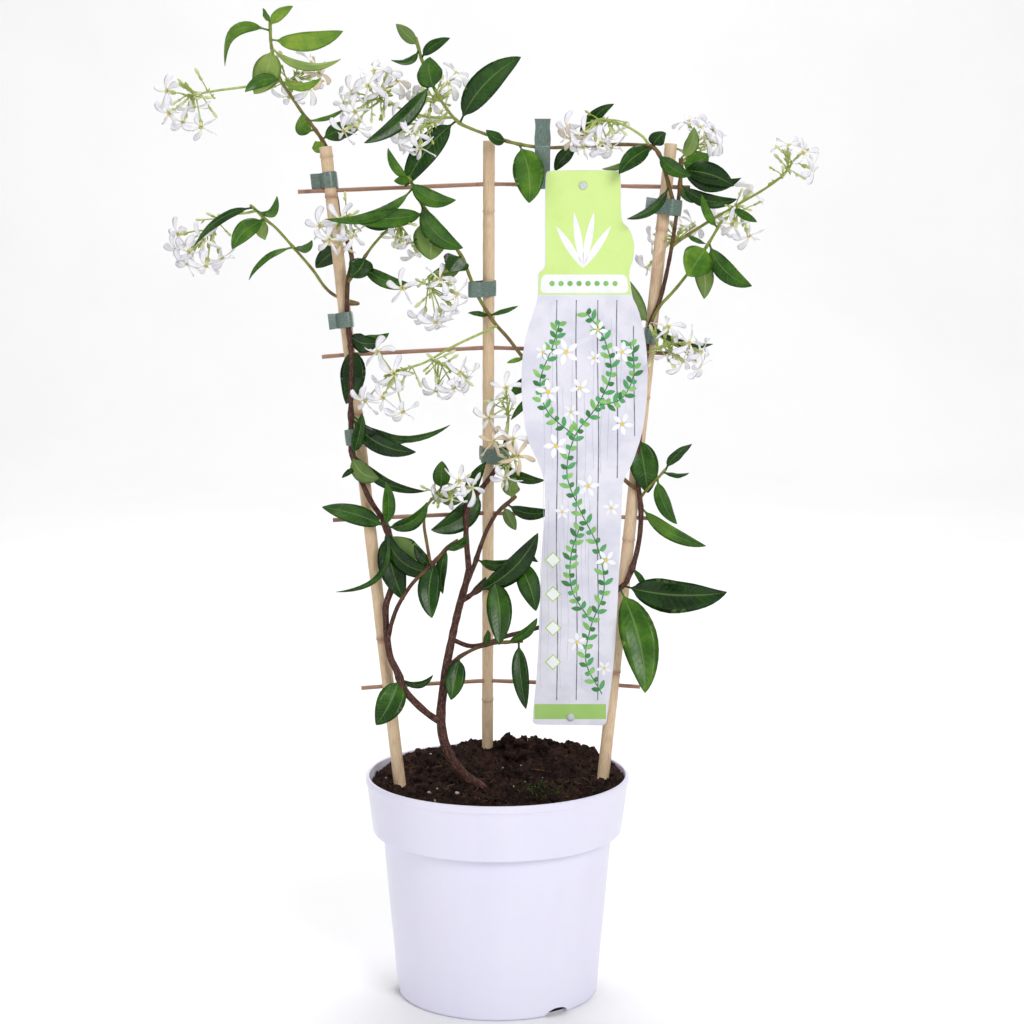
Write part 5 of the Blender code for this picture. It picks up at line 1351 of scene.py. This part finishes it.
POT_SIDES = 192
LIP_HEIGHT = 0.0052
LIP_STEP = 0.0007
LIP_ROUND = 0.0011
LIP_INNER_ROUND = 0.0010
LIP_FOOT_ROUND = 0.0006
COLLAR_ROUND = 0.0011
POT_LIP_WALL = 2.6 * MM


def outer_profile():
    """Radius and height from the middle of the base out and up to the rim: arcs for the rounded
    corners, straight lines for the base, body, collar underside and collar."""
    slope = (BODY_TOP_RADIUS - BASE_RADIUS) / (BODY_TOP - BASE_ROUND)
    lip_foot = POT_HEIGHT - LIP_HEIGHT
    profile = [(0.0, 0.0), (0.02, 0.0), (0.045, 0.0), (0.062, 0.0), (BASE_RADIUS - BASE_ROUND, 0.0)]
    profile += arc((BASE_RADIUS - BASE_ROUND, BASE_ROUND), BASE_ROUND, -75, 0, 6)
    profile += [(BASE_RADIUS + slope * (height - BASE_ROUND), height)
                for height in np.linspace(0.012, BODY_TOP - 0.0012, 12)]
    profile += arc((BODY_TOP_RADIUS + COLLAR_ROUND, BODY_TOP), COLLAR_ROUND, 180, 130, 4)
    profile += [(BODY_TOP_RADIUS + 0.0030, BODY_TOP + 0.0011)]
    profile += arc((COLLAR_LOW_RADIUS - COLLAR_ROUND, COLLAR_LOW + 0.0002), COLLAR_ROUND, -80, 5, 6)
    widening = RIM_RADIUS - LIP_STEP - COLLAR_LOW_RADIUS
    profile += [(COLLAR_LOW_RADIUS + share * widening, COLLAR_LOW + share * (lip_foot - COLLAR_LOW))
                for share in (0.15, 0.4, 0.65, 0.9)]
    profile += [(RIM_RADIUS - LIP_STEP, lip_foot - 0.0006)]
    profile += arc((RIM_RADIUS - LIP_FOOT_ROUND, lip_foot + 0.0004), LIP_FOOT_ROUND, -80, 0, 4)
    return profile + arc((RIM_RADIUS - LIP_ROUND, POT_HEIGHT - LIP_ROUND), LIP_ROUND, 0, 90, 6)


def make_pot(plastic):
    """The pot turned from one closed profile: the outside up to the rim, then down inside.
    Drain holes and notches are cut out of it."""
    inner = RIM_RADIUS - POT_LIP_WALL
    round_middle = (inner + LIP_INNER_ROUND, POT_HEIGHT - LIP_INNER_ROUND)
    profile = outer_profile() + arc(round_middle, LIP_INNER_ROUND, 90, 180, 5)
    profile += [(inner, POT_HEIGHT - 0.008), (COLLAR_LOW_RADIUS - WALL, COLLAR_LOW + WALL / 2),
                (BODY_TOP_RADIUS - WALL, BODY_TOP + WALL / 2), (BASE_RADIUS - WALL, FLOOR),
                (0.03, FLOOR), (0.0, FLOOR)]
    shape = Shape().grids(turned(profile, POT_SIDES))
    pot = shape.piece("pot_shell", plastic, "pot_plastic", "pot", sharp=35)
    holes = [drain_hole(math.tau * (index + 0.5) / DRAIN_HOLES) for index in range(DRAIN_HOLES)]
    notches = [drain_notch(math.radians(DRAIN_NOTCH_ANGLE + 360 / DRAIN_NOTCHES * index))
               for index in range(DRAIN_NOTCHES)]
    carve(pot, holes + notches)


def drain_hole(turn):
    """A rod through the floor, at an angle round the pot."""
    foot = (DRAIN_HOLE_CIRCLE * math.cos(turn), DRAIN_HOLE_CIRCLE * math.sin(turn), 0.0)
    low, high = -FLOOR, 2 * FLOOR
    return turned([(0, low), (DRAIN_HOLE_RADIUS, low), (DRAIN_HOLE_RADIUS, high), (0, high)], 24, foot)


def drain_notch(turn):
    """A block through the foot of the wall, at an angle round the pot. Its top is an arch: the
    height at each place across is that of a circle squeezed to the notch's width."""
    wide, deep, high = DRAIN_NOTCH
    way = np.array((math.cos(turn), math.sin(turn), 0.0))
    beside = np.array((-way[1], way[0], 0.0))
    across = np.linspace(-1, 1, 9)[:, None]
    arch = high / 2 * np.sqrt(1 - (0.92 * across) ** 2)
    corners = [(-1, -0.002), (-1, arch), (1, arch), (1, -0.002), (-1, -0.002)]
    block = np.stack([way * (BASE_RADIUS + side * deep / 2) + beside * across * wide / 2
                      + np.array((0, 0, 1)) * height for side, height in corners], axis=1)
    ends = [end.mean(axis=1, keepdims=True).repeat(len(corners), 1) for end in (block[:1], block[-1:])]
    return np.concatenate((ends[0], block, ends[1]))


def carve(obj, cutters):
    """Cuts closed grids out of an object and applies the cut, so that no helper is left."""
    helpers = []
    for number, grid in enumerate(cutters):
        shape = Shape().grids(grid)
        mesh = bpy.data.meshes.new(f"cutter_{number}")
        mesh.from_pydata(shape.points[0].tolist(), [], shape.faces[0].tolist())
        close_seams(mesh, SEAM)
        helper = bpy.data.objects.new(mesh.name, mesh)
        bpy.context.scene.collection.objects.link(helper)
        helpers.append(helper)
        hole = obj.modifiers.new("hole", "BOOLEAN")
        hole.operation = "DIFFERENCE"
        hole.object = helper
    bpy.context.view_layer.update()
    seen = obj.evaluated_get(bpy.context.evaluated_depsgraph_get())
    cut = bpy.data.meshes.new_from_object(seen)
    obj.modifiers.clear()
    obj.data = cut
    for helper in helpers:
        bpy.data.objects.remove(helper, do_unlink=True)


RIDGE_MIDDLE = (0.012, 0.052)
RIDGE_SIZE = (0.058, 0.030)
RIDGE_HEIGHT = 0.016
BACK_RISE = 0.0045
SIDE_RISE = 0.006
SOIL_SIDES = 220
SOIL_RINGS = 90
SOIL_GAP = 0.0003
# What lies on the soil: how many, smallest and largest size, spread, and middle of the spread.
CRUMBS = {
    "soil_crumbs": (620, (0.0009, 0.0034), 0.086, (0.0, 0.0)),
    "soil_clods": (26, (0.0026, 0.0060), 0.016, (0.018, 0.050)),
    "soil_lumps": (60, (0.0024, 0.0046), 0.082, (0.0, 0.0)),
    "soil_grit": (34, (0.0006, 0.0016), 0.084, (0.0, 0.0)),
}
MOSS_MIDDLE = (0.031, -0.008)
MOSS_SPREAD = (0.012, 0.010)
MOSS_RADII = np.array((0.45, 0.6, 0.45, 0.1)) * MM
MOSS_SHOOTS = 150
FIBRES = 90
FIBRE_SPREAD = 0.08


def soil_height(x, y):
    """Height of the soil: a level bed, a bell-shaped ridge behind the trunk, a rise towards the
    back and side walls, broad swells, clods and grains."""
    points = np.stack(np.broadcast_arrays(x, y, np.zeros_like(x)), -1)
    from_ridge = ((y - RIDGE_MIDDLE[1]) / RIDGE_SIZE[1]) ** 2 + ((x - RIDGE_MIDDLE[0]) / RIDGE_SIZE[0]) ** 2
    ridge = RIDGE_HEIGHT * np.exp(-from_ridge)
    back = BACK_RISE * np.clip(y / RIM_INNER_RADIUS, 0, 1) ** 2
    swells = 0.0012 * np.sin(95 * x + 1.0) * np.sin(120 * y + 0.4) + 0.0008 * np.sin(230 * x - 150 * y)
    clods = 0.0024 * np.abs(ripple(points, 0.011, 1.0)) + 0.0014 * ripple(points, 0.005, 2.0)
    grains = 0.0008 * ripple(points, 0.0022, 3.0)
    reach = np.hypot(x, y) / RIM_INNER_RADIUS
    side = SIDE_RISE * reach**4 * np.clip(1 + y / 0.05, 0, 1) * (1 + 0.35 * x / RIM_INNER_RADIUS)
    return SOIL_LEVEL + ridge + back + side + swells + clods + grains - 0.0012


def make_soil(peat, pale, moss, fibre):
    """The bed fills the pot: wall rings up, then the top inwards; crumbs, pale grit, a moss
    patch and fibres lie on it."""
    rng = np.random.default_rng(11)
    low = FLOOR + SOIL_GAP
    top = COLLAR_LOW_RADIUS + 0.0028 - WALL
    wall = turned([(0.0, low), (0.04, low), (BASE_RADIUS - WALL - 0.0006, low),
                   (BODY_TOP_RADIUS - WALL - 0.0012, BODY_TOP - SOIL_GAP),
                   (COLLAR_LOW_RADIUS - WALL - 0.0012, COLLAR_LOW + 0.0014)], SOIL_SIDES)
    turn = ring_turns(SOIL_SIDES)
    radius = top * np.linspace(1, 0, SOIL_RINGS)[:, None] ** 0.85
    x = radius * np.cos(turn)
    y = radius * np.sin(turn)
    bed = np.stack((x, y, soil_height(x, y)), -1)
    Shape().grids(np.concatenate((wall, bed))).piece("soil_bed", peat, "potting_soil", "soil")
    for name, crumbs in CRUMBS.items():
        add_crumbs(name, rng, pale if name == "soil_grit" else peat, *crumbs)
    add_moss(rng, moss)
    add_fibres(rng, fibre)


def add_crumbs(name, rng, material, count, sizes, reach, centre):
    """Small uneven lumps half sunk into the soil: a coarse ball each, stretched and dented,
    and turned about the vertical."""
    radius = reach * np.sqrt(rng.random(count))
    turn = rng.uniform(0, math.tau, count)
    x = centre[0] + radius * np.cos(turn)
    y = centre[1] + radius * np.sin(turn)
    middle = np.stack((x, y, soil_height(x, y)), -1)
    size = sizes[0] + (sizes[1] - sizes[0]) * rng.random(count) ** 3
    ball = turned(arc((0.0, 0.0), 1.0, -90, 90, 6), 7)
    stretch = rng.uniform(0.6, 1.3, (count, 3)) * size[:, None]
    dents = 1 + 0.28 * rng.standard_normal((count,) + ball.shape[:2])
    dents[:, :, -1] = dents[:, :, 0]
    dents[:, [0, -1]] = 1
    swirl = rng.uniform(0, math.tau, count)[:, None, None]
    points = ball[None] * stretch[:, None, None] * dents[..., None]
    x, y, z = np.moveaxis(points, -1, 0)
    points = np.stack((x * np.cos(swirl) - y * np.sin(swirl),
                       x * np.sin(swirl) + y * np.cos(swirl), z), -1)
    Shape().grids(points + middle[:, None, None]).piece(name, material, "potting_soil")


def add_moss(rng, moss):
    """Tufts of short green shoots on the soil to the right of the trunk."""
    count = MOSS_SHOOTS
    x = MOSS_MIDDLE[0] + rng.normal(0, MOSS_SPREAD[0], count)
    y = MOSS_MIDDLE[1] + rng.normal(0, MOSS_SPREAD[1], count)
    foot = np.stack((x, y, soil_height(x, y) - 0.0004), -1)
    way = unit(np.stack((rng.normal(0, 0.6, count), rng.normal(0, 0.6, count), np.ones(count)), -1))
    end = foot + way * rng.uniform(0.0015, 0.0036, count)[:, None]
    lines = bezier(foot, (foot + end) / 2 + way * 0.0002, end, 4)
    Shape().grids(tubes(lines, MOSS_RADII, 5), tube_uv(lines, 5)).piece("soil_moss", moss, "leaf")


def add_fibres(rng, fibre):
    """Bark and peat fibres: thin bent rods that lie on the soil at all angles."""
    count = FIBRES
    radius = FIBRE_SPREAD * np.sqrt(rng.random(count))
    turn = rng.uniform(0, math.tau, count)
    x = radius * np.cos(turn)
    y = radius * np.sin(turn)
    middle = np.stack((x, y, soil_height(x, y) + 0.0006), -1)
    swing = rng.uniform(0, math.tau, count)
    way = np.stack((np.cos(swing), np.sin(swing), rng.normal(0, 0.22, count)), -1)
    half = rng.uniform(0.002, 0.008, count)[:, None]
    bend = rng.normal(0, 0.0016, (count, 3))
    lines = bezier(middle - way * half, middle + bend, middle + way * half, 6)
    rods = tubes(lines, rng.uniform(0.0002, 0.0005, count)[:, None], 5)
    Shape().grids(rods, tube_uv(lines, 5)).piece("soil_fibres", fibre, "potting_soil")


PRINT_THICKNESS = 0.06 * MM
PRINT_SINK = 0.02 * MM
PEG_HEAD_RADIUS = 3 * MM
PEG_HEAD_RUN = np.array((0.0, 0.0, 0.4, 0.9, 1.4, 1.8, 2.0, 1.8, 1.6)) * MM
PEG_HEAD_WIDE = np.array((0.0, 0.93, 1.0, 0.96, 0.80, 0.52, 0.25, 0.12, 0.0)) * PEG_HEAD_RADIUS


def label_plane():
    """Foot, right, up and outward direction of the card's plane, which leans back at its top."""
    top = place(*LABEL_TOP)
    foot = place(*LABEL_FOOT)
    up = unit(np.array((0.0, top[1] - foot[1], top[2] - foot[2])))
    right = np.array((1.0, 0.0, 0.0))
    return foot, right, up, np.cross(right, up)


def on_label(pixels):
    """Where lines of sight through pixels meet the card, along its right and up axes."""
    foot, right, up, outward = label_plane()
    way = place(*np.array(pixels, float).T, 0.0) - VIEW_EYE
    reach = ((foot - VIEW_EYE) @ outward) / (way @ outward)
    point = VIEW_EYE + way * reach[..., None]
    return np.stack(((point - foot) @ right, (point - foot) @ up), -1)


def cut_corners(outline, rounds, sharp=0.9, most=0.0022):
    """Chaikin's rule: each corner of a closed outline is cut a fifth of the way along both of
    its sides, again and again. A sharp corner is cut no farther out than the given length."""
    way = unit(np.roll(outline, -1, axis=0) - outline)
    turn = np.arccos(np.clip((way * np.roll(way, 1, axis=0)).sum(axis=-1), -1, 1))
    limit = np.where(turn > sharp, most, 1.0)[:, None]
    for _round in range(rounds):
        edge = np.roll(outline, -1, axis=0) - outline
        length = np.linalg.norm(edge, axis=1, keepdims=True)
        first = outline + edge * np.minimum(0.2, limit / length)
        last = outline + edge * (1 - np.minimum(0.2, np.roll(limit, -1, axis=0) / length))
        outline = np.stack((first, last), 1).reshape(-1, 2)
        limit = np.stack((limit, np.roll(limit, -1, axis=0)), 1).reshape(-1, 1) / 2
    return outline


def flat_piece(outlines, low, high):
    """A mesh of flat plates on the card: each outline, in the card's axes, as a front and a
    back face with a wall between, from `low` to `high` in front of the card's middle."""
    foot, right, up, outward = label_plane()
    points = []
    faces = []
    first = 0
    for outline in outlines:
        count = len(outline)
        flat = foot + outline[:, :1] * right + outline[:, 1:] * up
        points += [flat + outward * low, flat + outward * high]
        around = np.arange(count)
        after = (around + 1) % count
        faces += (np.stack((around, after, after + count, around + count), -1) + first).tolist()
        faces += [(around + first).tolist(), (around + count + first).tolist()]
        first += 2 * count
    mesh = bpy.data.meshes.new("plates")
    mesh.from_pydata(np.vstack(points).tolist(), [], faces)
    work = bmesh.new()
    work.from_mesh(mesh)
    bmesh.ops.recalc_face_normals(work, faces=work.faces)
    bmesh.ops.triangulate(work, faces=[face for face in work.faces if len(face.verts) > 4])
    work.to_mesh(mesh)
    work.free()
    mesh.uv_layers.new(name="UVMap")
    return mesh


def printed(name, outlines, material, layer=1):
    """Ink on the card's front, each layer a little in front of the one before."""
    low = LABEL_THICKNESS / 2 - PRINT_SINK + (layer - 1) * PRINT_THICKNESS
    mesh = flat_piece(outlines, low, low + PRINT_THICKNESS * 1.6)
    made = show(name, mesh, material, ())
    made.data.shade_flat()
    return made


def round_outline(middle, reach, steps):
    """A circle about a point of the card."""
    turn = np.linspace(0, math.tau, steps, endpoint=False)
    return middle + np.stack((np.cos(turn), np.sin(turn)), -1) * reach


def leaf_outline(foot, tip, width, steps=9):
    """A pointed oval from foot to tip: its half width follows sin(pi t)^0.8."""
    foot, tip = np.asarray(foot), np.asarray(tip)
    t = np.linspace(0, 1, steps)
    along = tip - foot
    across = np.array((-along[1], along[0])) / np.linalg.norm(along)
    half = (np.sin(np.pi * t) ** 0.8 * width / 2)[:, None]
    line = foot + along * t[:, None]
    return np.vstack((line + across * half, (line - across * half)[-2:0:-1]))


def strip_outline(line, width):
    """A strip of even width along a line."""
    run = unit(np.gradient(line, axis=0))
    across = np.stack((-run[:, 1], run[:, 0]), -1) * width / 2
    return np.vstack((line + across, (line - across)[::-1]))


def star_outlines(middle, reach, turn):
    """Five separate petals like a pinwheel, each a slanted oval."""
    outlines = []
    for index in range(PETALS):
        angle = turn + math.tau * index / PETALS
        foot = middle + np.array((math.cos(angle), math.sin(angle))) * reach * 0.14
        tip = middle + np.array((math.cos(angle + 0.42), math.sin(angle + 0.42))) * reach
        outlines.append(leaf_outline(foot, tip, reach * 0.42, 8))
    return outlines


# The printed design, in pixels: a lime head, grey-white boards with dark gaps, two sprigs that
# climb the card with leaves and pinwheel flowers, plain lozenges and a green foot. A sprig flower
# is its middle and its width.
HEAD_FOOT = (583, 296)
HEAD_STRIP = ((541.5, 274.5), (626.5, 274.5), (629, 293), (540, 293))
HEAD_BEADS = [(column, 283.5) for column in range(552, 622, 9)]
BOARD_EDGES = ((557, 300, 700), (576.5, 300, 700), (598, 300, 700), (617, 300, 478), (634, 326, 436))
# Lines of grain beside each gap: pixels to its left, and start and end as shares of the gap.
BOARD_GRAIN = ((5, 0.1, 0.42), (9, 0.5, 0.9), (13, 0.22, 0.66), (16, 0.6, 0.97))
SPRIGS = (
    ((602, 694), (586, 662), (591, 626), (604, 590), (598, 548), (580, 510), (567, 474), (575, 436),
     (597, 406), (611, 372), (603, 336), (586, 312)),
    ((590, 620), (572, 590), (571, 556), (580, 526)),
    ((575, 436), (548, 412), (540, 382), (552, 348), (560, 322)),
    ((597, 406), (622, 398), (634, 372), (630, 342)),
)
SPRIG_FLOWERS = (
    (577, 642, 20), (606, 560, 22), (588, 486, 24), (556, 446, 26), (622, 424, 24), (548, 392, 26),
    (580, 388, 22), (622, 352, 22), (566, 352, 28), (598, 330, 20), (611, 508, 18), (604, 668, 16),
    (543, 352, 18), (594, 358, 16), (571, 412, 18), (562, 512, 16),
)
LOZENGES = ((553, 560), (553, 594), (553, 628), (553, 662))
HEAD_LEAVES = (((583, 268), (556, 226)), ((583, 268), (574, 212)), ((583, 268), (594, 212)),
               ((583, 268), (611, 226)))
FOOT_BAND = ((534.5, 704), (606, 704), (606, 719), (534.5, 719))
# Sizes in the print, in metres.
BOARD_GAP = 0.75 * MM
BOARD_GRAIN_LINE = 0.22 * MM
SPRIG_STEM = 0.8 * MM
SPRIG_LEAF = 3.4 * MM
HEAD_LEAF = 5.2 * MM
HEAD_BEAD = 1.9 * MM
LOZENGE = 4.9 * MM
LOZENGE_EDGE = 5.8 * MM
PIXEL_ON_LABEL = 0.72 * MM


def make_label(card, inks):
    """The card and its print, layer over layer."""
    outline = cut_corners(on_label(LABEL_LEFT + LABEL_RIGHT), 3)
    half = LABEL_THICKNESS / 2
    plate = flat_piece([outline], -half, half)
    made = show("label_card_plate", plate, card, ("label",), sharp=30)
    made.data.shade_flat()
    print_head_ground(outline, inks["lime"])
    print_boards(inks)
    print_sprigs(inks)
    print_flowers(inks)
    print_lozenges(inks)
    printed("label_foot_band", [on_label(FOOT_BAND)], inks["band_green"])
    print_head(inks)


def print_head_ground(outline, ink):
    """The card's outline, drawn in a little, above the foot of its head."""
    centre = outline.mean(axis=0)
    inset = centre + (outline - centre) * np.array((0.985, 0.998))
    head = inset[inset[:, 1] > on_label([HEAD_FOOT])[0, 1]]
    first = np.argmax(np.linalg.norm(head - np.roll(head, 1, axis=0), axis=1))
    printed("label_head", [np.roll(head, -first, axis=0)], ink)


def print_boards(inks):
    """Dark gaps between boards, and lines of grain; each runs down the card as a slow sine."""
    gaps = []
    grain = []
    for column, top, low in BOARD_EDGES:
        rows = np.linspace(top, low, 24)
        line = on_label(np.stack((column + 0.6 * np.sin(rows / 31), rows), -1))
        gaps.append(strip_outline(line, BOARD_GAP))
        for offset, first, last in BOARD_GRAIN:
            rows = np.linspace(top + first * (low - top), top + last * (low - top), 14)
            line = on_label(np.stack((column - offset + 0.8 * np.sin(rows / 17 + offset), rows), -1))
            grain.append(strip_outline(line, BOARD_GRAIN_LINE))
    printed("label_board_gaps", gaps, inks["dark_grey"])
    printed("label_board_grain", grain, inks["grey"])


def print_sprigs(inks):
    """Climbing stems, each with pairs of pointed leaves in three greens."""
    stems = []
    leaves = []
    for number, pixels in enumerate(SPRIGS):
        line = on_label(smooth_route(np.array([(*pixel, 0.0) for pixel in pixels]), 8)[:, :2])
        stems.append(strip_outline(line, SPRIG_STEM))
        run = unit(np.gradient(line, axis=0))
        for index in range(1, len(line) - 1, 2):
            for side in (1, -1):
                across = np.array((-run[index, 1], run[index, 0])) * side
                reach = 0.0062 + 0.0022 * math.sin(2.1 * index + side + number)
                tip = line[index] + unit(run[index] * 0.8 + across) * reach
                leaves.append(leaf_outline(line[index], tip, SPRIG_LEAF))
    printed("label_sprig_stems", stems, inks["deep_green"], 2)
    printed("label_sprig_leaves_dark", leaves[::3], inks["deep_green"], 2)
    printed("label_sprig_leaves_middle", leaves[1::3], inks["middle_green"], 3)
    printed("label_sprig_leaves_light", leaves[2::3], inks["fresh_green"], 4)


def print_flowers(inks):
    """White pinwheel flowers with a round yellow heart."""
    petals = []
    hearts = []
    for number, (px, py, width) in enumerate(SPRIG_FLOWERS):
        middle = on_label([(px, py)])[0]
        reach = width * 0.5 * PIXEL_ON_LABEL
        petals += star_outlines(middle, reach, 0.5 * number)
        hearts += [round_outline(middle, reach * 0.16, 14)]
    printed("label_flower_petals", petals, inks["white"], 5)
    printed("label_flower_hearts", hearts, inks["gold"], 6)


def print_lozenges(inks):
    """Squares that stand on a corner, white over a lime one that shows as an edge."""
    corners = np.array(((0, 1), (1, 0), (0, -1), (-1, 0)))
    middles = [on_label([pixel])[0] for pixel in LOZENGES]
    edges = [middle + corners * LOZENGE_EDGE for middle in middles]
    printed("label_lozenge_edges", edges, inks["lime_line"], 2)
    printed("label_lozenges", [middle + corners * LOZENGE for middle in middles], inks["white"], 3)


def print_head(inks):
    """On the lime head: a fan of white leaves, and a white strip with a row of green beads."""
    sprays = [leaf_outline(*on_label(ends), HEAD_LEAF) for ends in HEAD_LEAVES]
    printed("label_head_leaves", sprays, inks["white"], 2)
    printed("label_head_strip", [cut_corners(on_label(HEAD_STRIP), 3)], inks["white"], 2)
    beads = [round_outline(middle, HEAD_BEAD, 18) for middle in on_label(HEAD_BEADS)]
    printed("label_head_beads", beads, inks["fresh_green"], 3)


def make_pegs(bars, clear):
    """Each peg: a domed head before the card, a pin through it and a hook round the crossbar."""
    foot, right, up, outward = label_plane()
    for name, pixel in PEGS.items():
        x, y = on_label([pixel])[0]
        centre = foot + right * x + up * y
        bar = evenly(bars["crossbar_1" if name.endswith("top") else "crossbar_4"], 0.001)
        target = bar[nearest(bar, centre)[0]]
        head_foot = centre + outward * LABEL_THICKNESS / 2
        shape = Shape().grids(revolved(head_foot[None], outward[None], right[None],
                                       (PEG_HEAD_RUN, PEG_HEAD_WIDE), 24))
        loop = np.radians(np.linspace(0, 250, 14))
        circle = target + BAR_RADIUS * 1.55 * np.stack((0 * loop, -np.cos(loop), np.sin(loop)), -1)
        pin = [centre + outward * 0.6 * MM, centre - outward * 2 * MM]
        line = evenly(np.vstack((pin, circle)), 0.8 * MM)
        shape.grids(tubes(line, 0.9 * MM, 10, (1.0, 0.0, 0.0)), tube_uv(line, 10))
        shape.piece(name + "_clip", clear, "peg_plastic", name)


def make_stage(floor_material):
    """A pale floor that sweeps up into a backdrop in one curve: a quarter of a circle between a
    level and an upright stretch."""
    reach, far, sweep = 9.0, 2.6, 1.2
    turn = np.radians(np.linspace(0, 90, 24))[1:]
    y = np.concatenate((np.linspace(-reach, far, 12), far + sweep * np.sin(turn), [far + sweep] * 2))
    z = np.concatenate((np.zeros(12), sweep * (1 - np.cos(turn)), [4.0, 7.0]))
    x = np.linspace(-reach, reach, 9)
    shape = Shape().grids(np.stack(np.broadcast_arrays(x[None], y[:, None], z[:, None]), -1))
    mesh = bpy.data.meshes.new("floor")
    mesh.from_pydata(shape.points[0].tolist(), [], shape.faces[0][:, ::-1].tolist())
    mesh.materials.append(floor_material)
    mesh.shade_smooth()
    floor = bpy.data.objects.new("floor", mesh)
    bpy.context.scene.collection.objects.link(floor)


def add_light(name, where, aim, size, watts):
    """A square light of a size at a place, turned towards its aim."""
    light = bpy.data.lights.new(name, "AREA")
    light.size = size
    light.energy = watts
    lamp = bpy.data.objects.new(name, light)
    way = np.asarray(where, float) - np.asarray(aim, float)
    lamp.location = where
    lamp.rotation_euler = (math.atan2(math.hypot(way[0], way[1]), way[2]), 0, math.atan2(way[0], -way[1]))
    bpy.context.scene.collection.objects.link(lamp)


def make_view():
    """The camera, placed and pitched as the photograph was taken."""
    camera = bpy.data.cameras.new("camera")
    camera.sensor_width = SENSOR
    camera.lens = VIEW_FOCAL / VIEW_FRAME * SENSOR
    camera.clip_end = 50
    eye = bpy.data.objects.new("camera", camera)
    eye.location = VIEW_EYE
    eye.rotation_euler = (math.pi / 2 - VIEW_PITCH, 0, 0)
    bpy.context.scene.collection.objects.link(eye)
    bpy.context.scene.camera = eye


def light_scene():
    """An even white surround with a large soft key from the upper right and a weaker fill."""
    scene = bpy.context.scene
    world = bpy.data.worlds.new("studio")
    world.use_nodes = True
    ground = world.node_tree.nodes["Background"]
    ground.inputs["Color"].default_value = (1.0, 1.0, 1.0, 1.0)
    ground.inputs["Strength"].default_value = 0.44
    scene.world = world
    scene.view_settings.view_transform = "Standard"
    middle = (0, 0, 0.38)
    add_light("key", (1.1, -2.2, 1.7), middle, 1.1, 34)
    add_light("fill", (-2.0, -1.4, 1.1), middle, 1.5, 9)
    add_light("top", (0.1, 0.6, 2.2), middle, 1.2, 14)
    add_light("backdrop", (0.0, 1.2, 3.4), (0.0, 3.6, 1.4), 2.4, 60)


# Inks of the card: two colours that drift into each other, patches in a metre, roughness.
INKS = {
    "lime": ((214, 240, 150), (206, 234, 138), 30, 0.34),
    "lime_line": ((176, 216, 86), (166, 208, 76), 60, 0.34),
    "grey": ((176, 176, 190), (204, 204, 216), 120, 0.4),
    "dark_grey": ((92, 90, 100), (158, 158, 170), 90, 0.4),
    "middle_green": ((78, 156, 96), (98, 172, 104), 160, 0.34),
    "white": ((250, 250, 252), (240, 241, 246), 60, 0.34),
    "gold": ((238, 214, 96), (226, 196, 80), 90, 0.34),
    "deep_green": ((52, 118, 62), (74, 142, 74), 160, 0.34),
    "fresh_green": ((122, 182, 96), (150, 204, 116), 160, 0.34),
    "band_green": ((165, 205, 112), (156, 198, 102), 40, 0.34),
}


def main():
    """The whole picture: view, lights, finishes, then every piece and the stage."""
    make_view()
    light_scene()
    bark = stem_finish()
    leaf_material = leaf_finish()
    petal = petal_finish()
    green = flower_green_finish()
    bamboo = bamboo_finish("bamboo", colour(226, 200, 166), colour(196, 164, 130),
                           colour(160, 112, 92))
    rods = bamboo_finish("crossbar", colour(174, 134, 112), colour(126, 88, 72), colour(92, 58, 48))
    tape = tape_finish()
    plastic = pot_finish()
    peat = soil_finish("peat", colour(26, 15, 13), colour(74, 52, 44))
    fibre = soil_finish("fibre", colour(84, 60, 46), colour(138, 104, 78))
    pale = plain_finish("pale_grit", (205, 200, 190), (150, 140, 125), 300, 0.8, Specular_IOR_Level=0.2)
    moss = plain_finish("moss", (34, 58, 18), (60, 84, 30), 200, 0.8, Specular_IOR_Level=0.2)
    card = plain_finish("label_card", (231, 230, 241), (214, 213, 228), 38, 0.34)
    inks = {name: plain_finish("ink_" + name, *ink) for name, ink in INKS.items()}
    clear = plain_finish("peg_plastic", (236, 240, 244), (224, 230, 236), 90, 0.2,
                         Transmission_Weight=0.35, IOR=1.45)
    floor = plain_finish("floor", (250, 250, 250), (247, 247, 248), 2, 0.8)
    bars = bar_lines()
    routes = make_stems(bark, leaf_material)
    make_trusses(routes, petal, green)
    make_canes(bamboo)
    make_crossbars(bars, rods)
    make_ties(routes, bars, tape)
    make_pot(plastic)
    make_soil(peat, pale, moss, fibre)
    make_label(card, inks)
    make_pegs(bars, clear)
    make_stage(floor)


main()
